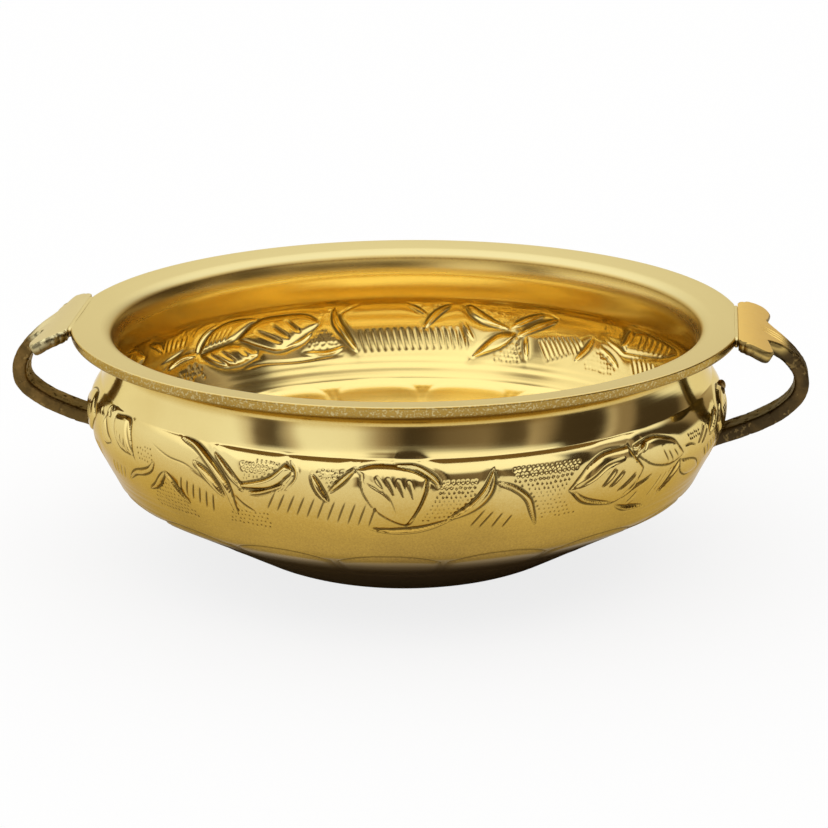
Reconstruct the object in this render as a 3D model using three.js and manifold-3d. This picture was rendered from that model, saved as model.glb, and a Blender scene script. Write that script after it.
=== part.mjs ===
// Urli: a wide brass bowl with a flared lip and two cast leaf handles, standing on its turned base.
// Millimetres, +Z up, origin at the middle of the base, X along the two handles.

import * as THREE from "three";
import { mergeVertices } from "three/addons/utils/BufferGeometryUtils.js";
import Module from "manifold-3d";

const wasm = await Module();
wasm.setup();

// Driving dimensions of the bowl. Depths are measured down from the top of the rim.
const height = 92;
const rimRadius = 127;
const rimEdge = 4.2;
const rimUpperRound = 0.7;
const rimLowerRound = 1.8;
const lipShare = 0.735; // how much of the flare is the flat lip
const lipDrop = 1.2;
const neckRadius = 112.3;
const neckDepth = 11;
const bellyRadius = 121.4;
const bellyDepth = 34;
const shoulderRadius = 112.2;
const shoulderDepth = 57.5;
const undersideRadius = 105.4;
const undersideDepth = 63.2;
const heelRadius = 66;
const heelDepth = 86.2;
const footRadius = 50;
const wall = 2;
const floorThickness = 2.6;
const bowlSegments = 72;

// Driving dimensions of a handle: a leaf plate bent over into a flat strap.
const plateThickness = 4.4;
const strapThickness = 5.6;
const loopDepth = 22.5;
const strapWidth = 12.5;
const strapEdgeRound = 1.1;
const plateReach = 14.5;
const plateDrop = 5.5;
const plateHalfWidth = 28;
const notchReach = 11.5;
const notchHalfWidth = 14.5;
const rootReach = 21.5;
const grooveWidth = 0.9;
const grooveDepth = 0.6;
const grooveSpacing = 3.4;
const grooveStart = 5; // the steps of the top line between which the grooves run
const grooveEnd = 11;

// Joints: the rim is filed flat along a chord, and each handle is brazed there and on the belly.
const seatCut = 2.8;
const brazeThickness = 0.8;
const brazeMargin = 1.3;
const fit = 0.3;
const strapSink = 4; // how far the strap's line runs on inside the belly, where it is cut away
const cutterMargin = 2; // how far a cutter stands past what it cuts

// The two handles are dressed and fitted by hand: both sit a little to the front of the middle, and
// their leaf lobes, reach and feet differ. Seen from above, one lobe lies clockwise of the strap and
// one anticlockwise. A lobe's tip is given by how far it reaches out and across, and every lobe size
// is a share of the leaf's reach or half width.
const handleTurn = THREE.MathUtils.degToRad(1.7);
const rightReach = 25.8;
const leftReach = 24.8;
const rightFootDepth = 47;
const leftFootDepth = 44.4;

function lobe(spread, tipReach, tipAcross) {
  return {
    spread: plateHalfWidth * spread,
    tipReach: plateReach * tipReach,
    tipAcross: plateHalfWidth * tipAcross,
  };
}

const handles = [
  {
    side: "right",
    turn: -handleTurn,
    reach: rightReach,
    footDepth: rightFootDepth,
    clockwise: lobe(1.18, 0.92, 0.95),
    anticlockwise: lobe(1.21, 0.9, 1),
  },
  {
    side: "left",
    turn: Math.PI + handleTurn,
    reach: leftReach,
    footDepth: leftFootDepth,
    clockwise: lobe(1.13, 0.66, 0.79),
    anticlockwise: lobe(1.3, 1.01, 0.95),
  },
];

// The chased band and the petals under it. Each raised form has a spine of points, given in degrees
// round from the front (from the back for the second list) and in depth, a half width and a rise.
const bandTurn = 4.8; // how far the band's front is turned towards the right handle, in degrees
const reliefSink = 0.6; // how deep each raised form is rooted in the wall
const reliefEdge = 0.3; // the step at the edge of each raised form
const spineSteps = 4;
const leafFullness = 0.7; // the lower, the blunter a leaf is
const leafPoint = 0.23; // the width of a leaf's two ends, as a share of its widest place
const frontLeaves = [
  { spine: [[-89, 32], [-81, 31], [-73.5, 29.5]], half: 5, rise: 0.6 },
  { spine: [[-63, 23.6], [-59, 28], [-54.5, 33]], half: 3, rise: 0.6 },
  { spine: [[-45, 35], [-48.2, 42], [-51, 44.9]], half: 0.95, rise: 0.75 },
  { spine: [[-45, 35], [-42.2, 42], [-40.4, 46.2]], half: 0.95, rise: 0.75 },
  { spine: [[-38, 28.2], [-33.6, 35], [-31.8, 39.4]], half: 1.35, rise: 0.85 },
  { spine: [[-42.2, 21.8], [-35, 27], [-30.7, 37], [-30.1, 47]], half: 1.25, rise: 1.1 },
  { spine: [[-34.6, 23.5], [-29.5, 32], [-27.9, 35.5]], half: 0.95, rise: 0.8 },
  { spine: [[-28.4, 33.8], [-23.2, 31.4], [-19.8, 25]], half: 1.6, rise: 1 },
  { spine: [[-15.7, 26.6], [-14.4, 31.5], [-12.7, 36.6]], half: 1.2, rise: 0.95 },
  { spine: [[-12.7, 32.4], [-10.6, 28.4], [-8.3, 24]], half: 0.85, rise: 0.8 },
  { spine: [[-4, 24], [-2.4, 33], [0, 45]], half: 6.4, rise: 0.55 },
  { spine: [[14.5, 25.4], [13.4, 32], [11, 37.7], [6.8, 42.8]], half: 1.85, rise: 1.2 },
  { spine: [[15, 29.6], [20.1, 36.8], [22.4, 48.6]], half: 0.95, rise: 0.8 },
  { spine: [[27.8, 36.2], [35, 35], [43.4, 31.5]], half: 7, rise: 0.9 },
  { spine: [[42, 26.6], [48, 29.6], [55.3, 34.9]], half: 3.8, rise: 0.85 },
  { spine: [[54.8, 37.6], [59.4, 41.6], [63.8, 44.6]], half: 2.6, rise: 0.6 },
  { spine: [[66.4, 33.8], [69, 31], [71.6, 26.4]], half: 1, rise: 0.8 },
  { spine: [[72.4, 30.5], [79, 29.5], [86.5, 29]], half: 5, rise: 0.6 },
];
const backLeaves = [
  { spine: [[-41, 34.5], [-39.6, 40], [-37.2, 46]], half: 1, rise: 0.9 },
  { spine: [[-48.6, 44.5], [-46, 41.6], [-42.5, 38]], half: 1, rise: 0.8 },
  { spine: [[-32.7, 28.5], [-28, 33], [-23.4, 38.5]], half: 1.35, rise: 1.1 },
  { spine: [[-29.8, 26.4], [-25.6, 30.4], [-21.8, 35]], half: 1.2, rise: 1 },
  { spine: [[-22.6, 38.4], [-18.4, 42.4], [-13.9, 49]], half: 1.7, rise: 0.9 },
  { spine: [[-21, 35.2], [-16.6, 32.6], [-13.3, 26]], half: 1.6, rise: 1 },
  { spine: [[-9.4, 25], [-6.2, 30], [-3.5, 37.4]], half: 1.3, rise: 1 },
  { spine: [[-4.3, 31], [-2.2, 28], [0.2, 24.5]], half: 0.85, rise: 0.8 },
  { spine: [[15, 25.4], [14.4, 33], [13, 39], [10.7, 46.5]], half: 1.7, rise: 1.2 },
  { spine: [[18.4, 32.8], [27, 35.4], [36.4, 35.6]], half: 6.6, rise: 0.9 },
  { spine: [[32.3, 27], [39.6, 30.6], [46.5, 37.6]], half: 4, rise: 0.85 },
  { spine: [[32.7, 43.2], [39, 41.6], [46.3, 39]], half: 3.4, rise: 0.8 },
];
const petalCount = 17;
const petalStart = -3.5;
const petalTop = 58.6;
const petalFoot = 71;
const petalWidth = 0.9; // how much of its share of the round each petal takes
const petalRise = 0.5;
const petalCrest = 0.7; // how far up from the foot a petal is highest

// The arch of a petal: places across its half width, each with how far down the arch has come there.
const petalArch = [[-1, 0.56], [-0.6, 0.14], [0, 0], [0.6, 0.14], [1, 0.56]];

const polishedBrass = new THREE.MeshStandardMaterial({ color: 0xd8b24a, roughness: 0.18, metalness: 1 });
const castBrass = new THREE.MeshStandardMaterial({ color: 0x8a6a32, roughness: 0.5, metalness: 1 });
const brazeBrass = new THREE.MeshStandardMaterial({ color: 0xb08a3c, roughness: 0.45, metalness: 1 });

// A closed triangle mesh from a geometry, with its shared corners merged and empty triangles dropped.
function solidFrom(geometry) {
  const bare = geometry.clone();
  bare.deleteAttribute("normal");
  bare.deleteAttribute("uv");
  const merged = mergeVertices(bare, 1e-4);
  const index = merged.index.array;
  const triangles = [];
  for (let i = 0; i < index.length; i += 3) {
    const [a, b, c] = [index[i], index[i + 1], index[i + 2]];
    if (a !== b && b !== c && c !== a) {
      triangles.push(a, b, c);
    }
  }
  const vertProperties = new Float32Array(merged.attributes.position.array);
  const triVerts = new Uint32Array(triangles);
  return new wasm.Manifold(new wasm.Mesh({ numProp: 3, vertProperties, triVerts }));
}

function meshFrom(solid, name, material) {
  const cut = solid.getMesh();
  const geometry = new THREE.BufferGeometry();
  geometry.setAttribute("position", new THREE.BufferAttribute(new Float32Array(cut.vertProperties), 3));
  geometry.setIndex(new THREE.BufferAttribute(new Uint32Array(cut.triVerts), 1));
  geometry.computeVertexNormals();
  const mesh = new THREE.Mesh(geometry, material);
  mesh.name = name;
  return mesh;
}

// Points of a cubic curve between two ends, each given with the control point that sets its tangent.
function bend(start, startControl, endControl, end, steps) {
  const curve = new THREE.CubicBezierCurve(start, startControl, endControl, end);
  return curve.getPoints(steps);
}

function joinCurves(curves) {
  return curves.flatMap((points, i) => (i === 0 ? points : points.slice(1)));
}

// Moves each point of an open outline sideways, to its left when the distance is positive.
function offsetOutline(points, distance) {
  return points.map((point, i) => {
    const before = points[Math.max(i - 1, 0)];
    const after = points[Math.min(i + 1, points.length - 1)];
    const along = after.clone().sub(before).normalize();
    return new THREE.Vector2(point.x - along.y * distance, point.y + along.x * distance);
  });
}

function at(radius, depth) {
  return new THREE.Vector2(radius, height - depth);
}

// The outside from the edge of the base up to the neck: slope, shoulder, belly and neck.
function outerWall() {
  const heel = at(heelRadius, heelDepth);
  const slope = at(undersideRadius, undersideDepth).sub(heel).normalize();
  const heelTurn = heelRadius - footRadius;
  const foot = bend(
    new THREE.Vector2(footRadius, 0),
    new THREE.Vector2(footRadius + heelTurn * 0.42, (height - heelDepth) * 0.18),
    heel.clone().addScaledVector(slope, -heelTurn * 0.3),
    heel,
    3,
  );
  const underside = [heel, at(undersideRadius, undersideDepth)];
  const shoulderTurn = undersideDepth - shoulderDepth;
  const shoulder = bend(
    at(undersideRadius, undersideDepth),
    at(undersideRadius, undersideDepth).addScaledVector(slope, shoulderTurn * 0.6),
    at(shoulderRadius - shoulderTurn * 0.2, shoulderDepth + shoulderTurn * 0.4),
    at(shoulderRadius, shoulderDepth),
    3,
  );
  const lowerTurn = shoulderDepth - bellyDepth;
  const lowerBelly = bend(
    at(shoulderRadius, shoulderDepth),
    at(shoulderRadius + (bellyRadius - shoulderRadius) * 0.3, shoulderDepth - lowerTurn * 0.26),
    at(bellyRadius, bellyDepth + lowerTurn * 0.3),
    at(bellyRadius, bellyDepth),
    5,
  );
  const upperTurn = bellyDepth - neckDepth;
  const upperBelly = bend(
    at(bellyRadius, bellyDepth),
    at(bellyRadius, bellyDepth - upperTurn * 0.58),
    at(neckRadius, neckDepth + upperTurn * 0.18),
    at(neckRadius, neckDepth),
    5,
  );
  return joinCurves([foot, underside, shoulder, lowerBelly, upperBelly]);
}

// The flared lip: under the flange, round the thick edge and over the flat top, down to the throat.
function rimOutline() {
  const flare = rimRadius - neckRadius;
  const rise = neckDepth - rimEdge;
  const underside = bend(
    at(neckRadius, neckDepth),
    at(neckRadius, neckDepth - rise * 0.42),
    at(neckRadius + flare * 0.3, rimEdge + rise * 0.22),
    at(rimRadius - rimLowerRound, rimEdge),
    3,
  );
  const lower = new THREE.QuadraticBezierCurve(
    at(rimRadius - rimLowerRound, rimEdge),
    at(rimRadius, rimEdge),
    at(rimRadius, rimEdge - rimLowerRound),
  ).getPoints(2);
  const upper = new THREE.QuadraticBezierCurve(
    at(rimRadius, rimUpperRound),
    at(rimRadius, 0),
    at(rimRadius - rimUpperRound, 0),
  ).getPoints(2);
  const throatRadius = neckRadius - wall;
  const lipEnd = rimRadius - flare * lipShare;
  const throat = bend(
    at(lipEnd, lipDrop),
    at(lipEnd - (lipEnd - throatRadius) * 0.55, lipDrop * 1.5),
    at(throatRadius, neckDepth * 0.42),
    at(throatRadius, neckDepth),
    4,
  );
  return [...underside.slice(1), ...lower.slice(1), ...upper, ...throat];
}

// Half of the bowl's section, from the middle of the base round to the middle of the floor.
function bowlSection() {
  const outside = outerWall();
  const inside = offsetOutline(outside, wall).reverse();
  const floorEdge = inside.findLastIndex((point) => point.y > floorThickness);
  const innerWall = inside.slice(1, floorEdge + 1);
  return [
    new THREE.Vector2(0, 0),
    ...outside,
    ...rimOutline(),
    ...innerWall,
    new THREE.Vector2(footRadius, floorThickness),
    new THREE.Vector2(0, floorThickness),
  ];
}

function revolve(section) {
  return new THREE.LatheGeometry(section, bowlSegments).rotateX(Math.PI / 2);
}

// The space that the belly fills, grown outwards, which the handles and their brazing keep clear of.
function bellyEnvelope(growth) {
  const grown = offsetOutline(outerWall(), -growth);
  const top = grown[grown.length - 1].y;
  const bottom = grown[0].y;
  return solidFrom(revolve([new THREE.Vector2(0, bottom), ...grown, new THREE.Vector2(0, top)]));
}

function block(lengthX, lengthY, lengthZ, x, y, z) {
  return solidFrom(new THREE.BoxGeometry(lengthX, lengthY, lengthZ).translate(x, y, z));
}

// Where the rim is filed flat for a handle, and where that handle's own edge starts.
const seatAt = rimRadius - seatCut;
const plateStart = seatAt + brazeThickness + 2 * fit;

// The point of the outer wall at a depth, and the direction that faces out there.
function wallAt(wallLine, depth) {
  const found = wallLine.findIndex((point) => point.y >= height - depth);
  const above = Math.max(found < 0 ? wallLine.length - 1 : found, 1);
  const [lower, upper] = [wallLine[above - 1], wallLine[above]];
  const share = (height - depth - lower.y) / (upper.y - lower.y);
  const along = upper.clone().sub(lower).normalize();
  return { point: lower.clone().lerp(upper, share), outward: new THREE.Vector2(along.y, -along.x) };
}

// A point a little above the wall, from its degrees round, its depth and its height above the wall.
function onWall(wallLine, degrees, depth, rise) {
  const { point, outward } = wallAt(wallLine, depth);
  const { x: radius, y: z } = point.addScaledVector(outward, rise);
  const angle = THREE.MathUtils.degToRad(degrees + bandTurn);
  return [radius * Math.sin(angle), -radius * Math.cos(angle), z];
}

// A closed patch on the wall: rows of raised points, and the same points again sunk into the wall.
function patchOn(wallLine, rows) {
  const wide = rows[0].length;
  const count = rows.length * wide;
  const raised = rows.flat().flatMap(([degrees, depth, rise]) => onWall(wallLine, degrees, depth, rise));
  const sunk = rows.flat().flatMap(([degrees, depth]) => onWall(wallLine, degrees, depth, -reliefSink));
  const index = [];
  for (let i = 0; i < rows.length - 1; i += 1) {
    for (let j = 0; j < wide - 1; j += 1) {
      const [a, b, c, d] = [i * wide + j, (i + 1) * wide + j, (i + 1) * wide + j + 1, i * wide + j + 1];
      index.push(a, b, c, a, c, d);
      index.push(count + a, count + c, count + b, count + a, count + d, count + c);
    }
  }
  const edge = [
    ...rows.map((row, i) => i * wide),
    ...rows[0].slice(1).map((point, j) => (rows.length - 1) * wide + j + 1),
    ...rows.slice(1).map((row, i) => (rows.length - 1 - i) * wide - 1),
    ...rows[0].slice(2).map((point, j) => wide - 2 - j),
  ];
  edge.forEach((from, k) => {
    const to = edge[(k + 1) % edge.length];
    index.push(from, count + from, count + to, from, count + to, to);
  });
  const geometry = new THREE.BufferGeometry();
  geometry.setAttribute("position", new THREE.BufferAttribute(new Float32Array([...raised, ...sunk]), 3));
  geometry.setIndex(index);
  return solidFrom(geometry);
}

// A chased leaf or rib: highest along its spine, widest halfway and pointed at both ends.
function makeLeaf(wallLine, { spine, half, rise }, from) {
  const perDegree = THREE.MathUtils.degToRad(1) * bellyRadius;
  const places = spine.map(([degrees, depth]) => new THREE.Vector2(degrees * perDegree, depth));
  const points = new THREE.SplineCurve(places).getPoints(spineSteps);
  const rows = points.map((point, i) => {
    const before = points[Math.max(i - 1, 0)];
    const after = points[Math.min(i + 1, spineSteps)];
    const along = after.clone().sub(before).normalize();
    const breadth = Math.max(Math.sin((Math.PI * i) / spineSteps) ** leafFullness, leafPoint);
    const crest = Math.max(rise * breadth, reliefEdge);
    return [-1, 0, 1].map((across) => {
      const x = point.x + along.y * half * breadth * across;
      const depth = point.y - along.x * half * breadth * across;
      return [from + x / perDegree, depth, across === 0 ? crest : reliefEdge];
    });
  });
  return patchOn(wallLine, rows);
}

// A petal under the belly: an arch of the wall raised below its rounded top, sinking towards the base.
function makePetal(wallLine, number) {
  const pitch = 360 / petalCount;
  const middle = petalStart + number * pitch;
  const rows = petalArch.map(([across, drop]) => {
    const top = THREE.MathUtils.lerp(petalTop, petalFoot, drop);
    const crest = THREE.MathUtils.lerp(petalFoot, top, petalCrest);
    const crestRise = Math.abs(across) === 1 ? reliefEdge : petalRise;
    const degrees = middle + (across * pitch * petalWidth) / 2;
    return [[degrees, petalFoot, 0], [degrees, crest, crestRise], [degrees, top, reliefEdge]];
  });
  return patchOn(wallLine, rows);
}

function makeBowl() {
  const wallLine = outerWall();
  const raised = [
    ...frontLeaves.map((leaf) => makeLeaf(wallLine, leaf, 0)),
    ...backLeaves.map((leaf) => makeLeaf(wallLine, leaf, 180)),
    ...Array.from({ length: petalCount }, (empty, number) => makePetal(wallLine, number)),
  ];
  let bowl = raised.reduce((sum, form) => sum.add(form), solidFrom(revolve(bowlSection())));
  const filing = 4 * rimEdge;
  for (const { turn } of handles) {
    const cut = new THREE.BoxGeometry(filing, rimRadius, 2 * rimEdge + cutterMargin / 2);
    cut.translate(seatAt + filing / 2, 0, height).rotateZ(turn);
    bowl = bowl.subtract(solidFrom(cut));
  }
  return meshFrom(bowl, "bowl", polishedBrass);
}

// The top face of a handle seen from its side: level at the rim, over the crest and in to the belly.
function handleTopLine({ reach, footDepth }) {
  const start = at(plateStart, 0);
  const crest = at(plateStart + plateReach, plateDrop);
  const furthest = rimRadius + reach;
  const out = at(furthest, loopDepth);
  const foot = at(bellyRadius - strapSink, footDepth + strapSink * 0.375);
  const plate = bend(
    start,
    at(plateStart + plateReach * 0.38, 0),
    at(plateStart + plateReach * 0.7, plateDrop * 0.55),
    crest,
    4,
  );
  const shoulder = bend(
    crest,
    at(plateStart + plateReach * 1.4, plateDrop * 1.6),
    at(furthest, loopDepth - reach * 0.32),
    out,
    6,
  );
  const lowerArm = bend(
    out,
    at(furthest, loopDepth + reach * 0.5),
    at(bellyRadius + reach * 0.5, footDepth - reach * 0.17),
    foot,
    9,
  );
  return joinCurves([plate, shoulder, lowerArm]);
}

// How thick the handle is at each point of its top line: the plate swells into the strap over the crest.
function handleThicknesses(topLine) {
  return topLine.map((point) => {
    const share = THREE.MathUtils.smoothstep(plateDrop - (height - point.y), -plateDrop, plateDrop);
    return THREE.MathUtils.lerp(strapThickness, plateThickness, share);
  });
}

// A strip that follows the top line, grown by a margin all round, and cut across to a given width.
function bentStrip(topLine, margin, width, bevel) {
  const thicknesses = handleThicknesses(topLine);
  const upper = offsetOutline(topLine, margin);
  const lower = topLine.map((point, i) => offsetOutline(topLine, -thicknesses[i] - margin)[i]).reverse();
  const side = new THREE.Shape([...upper, ...lower]);
  const geometry = new THREE.ExtrudeGeometry(side, {
    depth: width - 2 * bevel,
    steps: 1,
    bevelEnabled: bevel > 0,
    bevelThickness: bevel,
    bevelSize: bevel,
    bevelOffset: -bevel,
    bevelSegments: 1,
  });
  return solidFrom(geometry.rotateX(Math.PI / 2).translate(0, width / 2 - bevel, 0));
}

// One half of the leaf's edge, from the rim out round the scalloped lobe and in to the notch.
function lobeEdge({ spread, tipReach, tipAcross }) {
  const scallops = [
    [plateReach * 0.16, THREE.MathUtils.lerp(plateHalfWidth, spread, 0.5)],
    [plateReach * 0.36, THREE.MathUtils.lerp(plateHalfWidth, spread, 0.86)],
    [tipReach * 0.68, spread],
  ];
  return [
    { control: [0, scallops[0][1]], end: scallops[0] },
    { control: [scallops[0][0] + 0.4, scallops[1][1]], end: scallops[1] },
    { control: [scallops[1][0] + 1.2, scallops[2][1]], end: scallops[2] },
    { control: [tipReach - 1, spread], end: [tipReach, tipAcross] },
    { control: [notchReach + 1, notchHalfWidth * 1.3], end: [notchReach, notchHalfWidth] },
  ];
}

// The leaf seen from above: a straight edge on the rim, a lobe to each side and the root of the strap.
function leafOutline({ clockwise, anticlockwise }) {
  const leaf = new THREE.Shape();
  const rootHalf = strapWidth / 2 - strapEdgeRound;
  const rootControl = [notchReach + 4, strapWidth * 0.67];
  leaf.moveTo(plateStart, -plateHalfWidth);
  for (const { control, end } of lobeEdge(clockwise)) {
    leaf.quadraticCurveTo(plateStart + control[0], -control[1], plateStart + end[0], -end[1]);
  }
  leaf.quadraticCurveTo(plateStart + rootControl[0], -rootControl[1], plateStart + rootReach, -rootHalf);
  leaf.lineTo(plateStart + rootReach, rootHalf);
  leaf.quadraticCurveTo(plateStart + rootControl[0], rootControl[1], plateStart + notchReach, notchHalfWidth);
  const farEdge = lobeEdge(anticlockwise);
  for (let i = farEdge.length - 1; i >= 0; i -= 1) {
    const [reach, across] = i > 0 ? farEdge[i - 1].end : [0, plateHalfWidth];
    const [controlReach, controlAcross] = farEdge[i].control;
    leaf.quadraticCurveTo(plateStart + controlReach, controlAcross, plateStart + reach, across);
  }
  return leaf;
}

// The leaf's outline stands as a tall block, whose common part with the wide strip is the leaf plate.
function leafBlock(handle) {
  const deep = plateDrop + 2 * strapThickness + cutterMargin;
  const tall = new THREE.ExtrudeGeometry(leafOutline(handle), {
    depth: deep + cutterMargin,
    bevelEnabled: false,
    curveSegments: 4,
  });
  return solidFrom(tall.translate(0, 0, height - deep));
}

// One long groove on the strap's outer face, deepest halfway and running out at both ends.
function groove(topLine, across) {
  const stretch = topLine.slice(grooveStart, grooveEnd);
  const bottom = stretch.map((point, i) => {
    const share = i / (stretch.length - 1);
    return 2 * grooveDepth * Math.sin(Math.PI * share) - grooveDepth * 0.6;
  });
  const outer = offsetOutline(stretch, grooveDepth);
  const normals = offsetOutline(stretch, -1).map((point, i) => point.sub(stretch[i]));
  const inner = stretch.map((point, i) => point.clone().addScaledVector(normals[i], bottom[i])).reverse();
  const side = new THREE.Shape([...outer, ...inner]);
  const geometry = new THREE.ExtrudeGeometry(side, { depth: grooveWidth, bevelEnabled: false });
  return solidFrom(geometry.rotateX(Math.PI / 2).translate(0, across + grooveWidth / 2, 0));
}

function makeHandle(handle) {
  const topLine = handleTopLine(handle);
  const widest = 2 * Math.max(handle.clockwise.spread, handle.anticlockwise.spread) + cutterMargin;
  const strap = bentStrip(topLine, 0, strapWidth, strapEdgeRound);
  const leaf = bentStrip(topLine, 0, widest, 0).intersect(leafBlock(handle));
  let casting = strap.add(leaf);
  for (const across of [-grooveSpacing, 0, grooveSpacing]) {
    casting = casting.subtract(groove(topLine, across));
  }
  const trim = 2 * plateThickness;
  const squareEdge = block(trim, rimRadius, 4 * plateThickness, plateStart - trim / 2, 0, height);
  casting = casting.subtract(squareEdge).subtract(bellyEnvelope(brazeThickness + 2 * fit));
  return meshFrom(casting, `${handle.side}_handle`, castBrass);
}

// Braze metal between the filed rim and the straight edge of the leaf.
function makeRimBraze({ side }) {
  const halfChord = Math.sqrt(rimRadius ** 2 - seatAt ** 2);
  const deep = rimEdge - 2 * fit;
  const bar = block(brazeThickness, 2 * (halfChord - 1), deep,
    seatAt + fit + brazeThickness / 2, 0, height - fit - deep / 2);
  return meshFrom(bar, `${side}_rim_braze`, brazeBrass);
}

// Braze metal round the foot of the strap, a skin that follows the belly and shows all round the foot.
function makeBellyBraze(handle) {
  const topLine = handleTopLine(handle);
  const footprint = bentStrip(topLine, brazeMargin, strapWidth + 2 * brazeMargin, 0);
  const skin = footprint.intersect(bellyEnvelope(fit + brazeThickness)).subtract(bellyEnvelope(fit));
  return meshFrom(skin, `${handle.side}_belly_braze`, brazeBrass);
}

const urli = new THREE.Group();
urli.add(makeBowl());
for (const handle of handles) {
  const fitted = new THREE.Group();
  fitted.rotation.z = handle.turn;
  fitted.add(makeHandle(handle), makeRimBraze(handle), makeBellyBraze(handle));
  urli.add(fitted);
}

export default urli;
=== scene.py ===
# Urli: a wide brass bowl with a chased leaf band, petals under the belly and two cast leaf handles.
# Sizes in the dictionaries are millimetres and angles are degrees; meshes are written in metres.
import math

import bpy
import numpy as np
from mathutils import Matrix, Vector


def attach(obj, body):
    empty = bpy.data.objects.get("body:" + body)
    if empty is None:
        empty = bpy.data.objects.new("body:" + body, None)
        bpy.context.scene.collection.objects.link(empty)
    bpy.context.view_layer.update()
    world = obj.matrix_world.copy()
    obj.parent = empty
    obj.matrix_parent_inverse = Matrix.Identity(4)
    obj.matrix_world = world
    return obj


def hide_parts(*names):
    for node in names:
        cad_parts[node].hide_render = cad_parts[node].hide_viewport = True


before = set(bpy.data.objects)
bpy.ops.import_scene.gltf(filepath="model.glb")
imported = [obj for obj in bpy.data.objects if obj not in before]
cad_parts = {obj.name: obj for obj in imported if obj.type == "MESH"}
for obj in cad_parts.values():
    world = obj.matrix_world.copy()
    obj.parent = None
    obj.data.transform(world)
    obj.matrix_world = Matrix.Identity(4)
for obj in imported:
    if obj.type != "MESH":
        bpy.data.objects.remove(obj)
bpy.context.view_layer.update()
print("frame loaded:", sorted(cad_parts))

metre = 0.001  # one millimetre in metres

# the bowl, with the driving sizes of its solid; depths are counted down from the top of the rim
bowl = dict(
    height=92.0, rimRadius=127.0, rimEdge=4.2, rimUpperRound=0.7, rimLowerRound=1.8,
    lipShare=0.735, lipDrop=1.2,  # how much of the flare is the flat lip, and how far it dishes
    neckRadius=112.3, neckDepth=11.0, bellyRadius=121.4, bellyDepth=34.0,
    creaseRadius=116.4, creaseDepth=21.5,  # the neck is up to 1.7 mm hollower than the solid's
    shoulderRadius=112.2, shoulderDepth=57.5, undersideRadius=105.4, undersideDepth=63.2,
    heelRadius=66.0, heelDepth=86.2, footRadius=50.0, wall=2.0, floorThickness=2.6,
    seatDistance=124.2,       # how far from the middle the rim is filed flat for each handle
    wander=0.07,              # how far the wall strays from true turning
    sectors=10, columns=180,  # the wall is meshed in this many wedges, each this many steps wide
    # turned rings: depth, width and height of each, below zero where it is a groove
    rings=[(50.6, 0.5, -0.06), (53.4, 0.7, -0.10), (57.2, 0.6, -0.12), (74.0, 1.0, -0.14),
           (75.8, 1.0, 0.10)],
)


def bendPoints(start, startControl, endControl, end, steps):
    # cubic curve: the four points weighted by (1 - t)^3, 3 (1 - t)^2 t, 3 (1 - t) t^2 and t^3, t from 0 to 1
    t = np.linspace(0, 1, steps + 1)[:, None]
    a, b, c, d = map(np.array, (start, startControl, endControl, end))
    return (1 - t) ** 3 * a + 3 * (1 - t) ** 2 * t * b + 3 * (1 - t) * t**2 * c + t**3 * d


def smoothLine(points, steps=8):
    # a curve through all the points: each stretch is a cubic whose slope at an end is half the chord between
    # the points on either side of it
    p = np.array(points, float)
    if len(p) == 2:
        return p[0] + np.linspace(0, 1, steps + 1)[:, None] * (p[1] - p[0])
    padded = np.vstack([2 * p[0] - p[1], p, 2 * p[-1] - p[-2]])
    t = np.linspace(0, 1, steps, endpoint=False)[None, :, None]
    a, b, c, d = (padded[i:len(padded) - 3 + i][:, None] for i in range(4))
    curve = 0.5 * (2 * b + (c - a) * t + (2 * a - 5 * b + 4 * c - d) * t**2
                   + (3 * b - a - 3 * c + d) * t**3)
    return np.vstack([curve.reshape(-1, p.shape[1]), p[-1]])


def smoothStep(low, high, x):
    # 0 below low, 1 above high, with level ends: 3 t^2 - 2 t^3
    t = np.clip((x - low) / (high - low), 0, 1)
    return t * t * (3 - 2 * t)


def latticeNoise(seed, *coordinates):
    # random numbers at the corners of a unit lattice, blended by smooth steps inside each cell; -1 to 1
    size = 64
    corners = np.random.default_rng(seed).uniform(-1, 1, (size,) * len(coordinates))
    whole = [np.floor(c).astype(int) for c in coordinates]
    part = [smoothStep(0, 1, c - w) for c, w in zip(coordinates, whole)]
    total = 0
    for corner in np.ndindex(*(2,) * len(coordinates)):
        weight = 1
        for choice, share in zip(corner, part):
            weight = weight * (share if choice else 1 - share)
        total = total + weight * corners[tuple((w + k) % size for w, k in zip(whole, corner))]
    return total


def resample(line, spacing):
    # points along a line whose steps follow spacing(middle), from the running sum of 1 / spacing
    middle = (line[1:] + line[:-1]) / 2
    length = np.linalg.norm(np.diff(line, axis=0), axis=1)
    count = np.concatenate([[0], np.cumsum(length / spacing(middle))])
    steps = max(2, int(round(count[-1])))
    at = np.linspace(0, count[-1], steps + 1)
    return np.stack([np.interp(at, count, line[:, k]) for k in range(line.shape[1])], axis=1)


def fineLine(line):
    # the same line with points a tenth of a millimetre apart
    return resample(line, lambda middle: np.full(len(middle), 0.1))


def distanceAlong(line):
    # the running sum of the steps between points, from 0
    return np.concatenate([[0], np.cumsum(np.linalg.norm(np.diff(line, axis=0), axis=1))])


def rightOf(line):
    # the direction to the right of travel at each point, from central differences
    along = np.gradient(line, axis=0)
    along /= np.maximum(np.linalg.norm(along, axis=1)[:, None], 1e-9)
    return np.stack([along[:, 1], -along[:, 0]], axis=1)


def turned(x, y, z, degrees):
    # turned round the upright axis: (x cos - y sin, x sin + y cos, z)
    cosine, sine = math.cos(math.radians(degrees)), math.sin(math.radians(degrees))
    return np.stack([x * cosine - y * sine, x * sine + y * cosine, z], -1)


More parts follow.
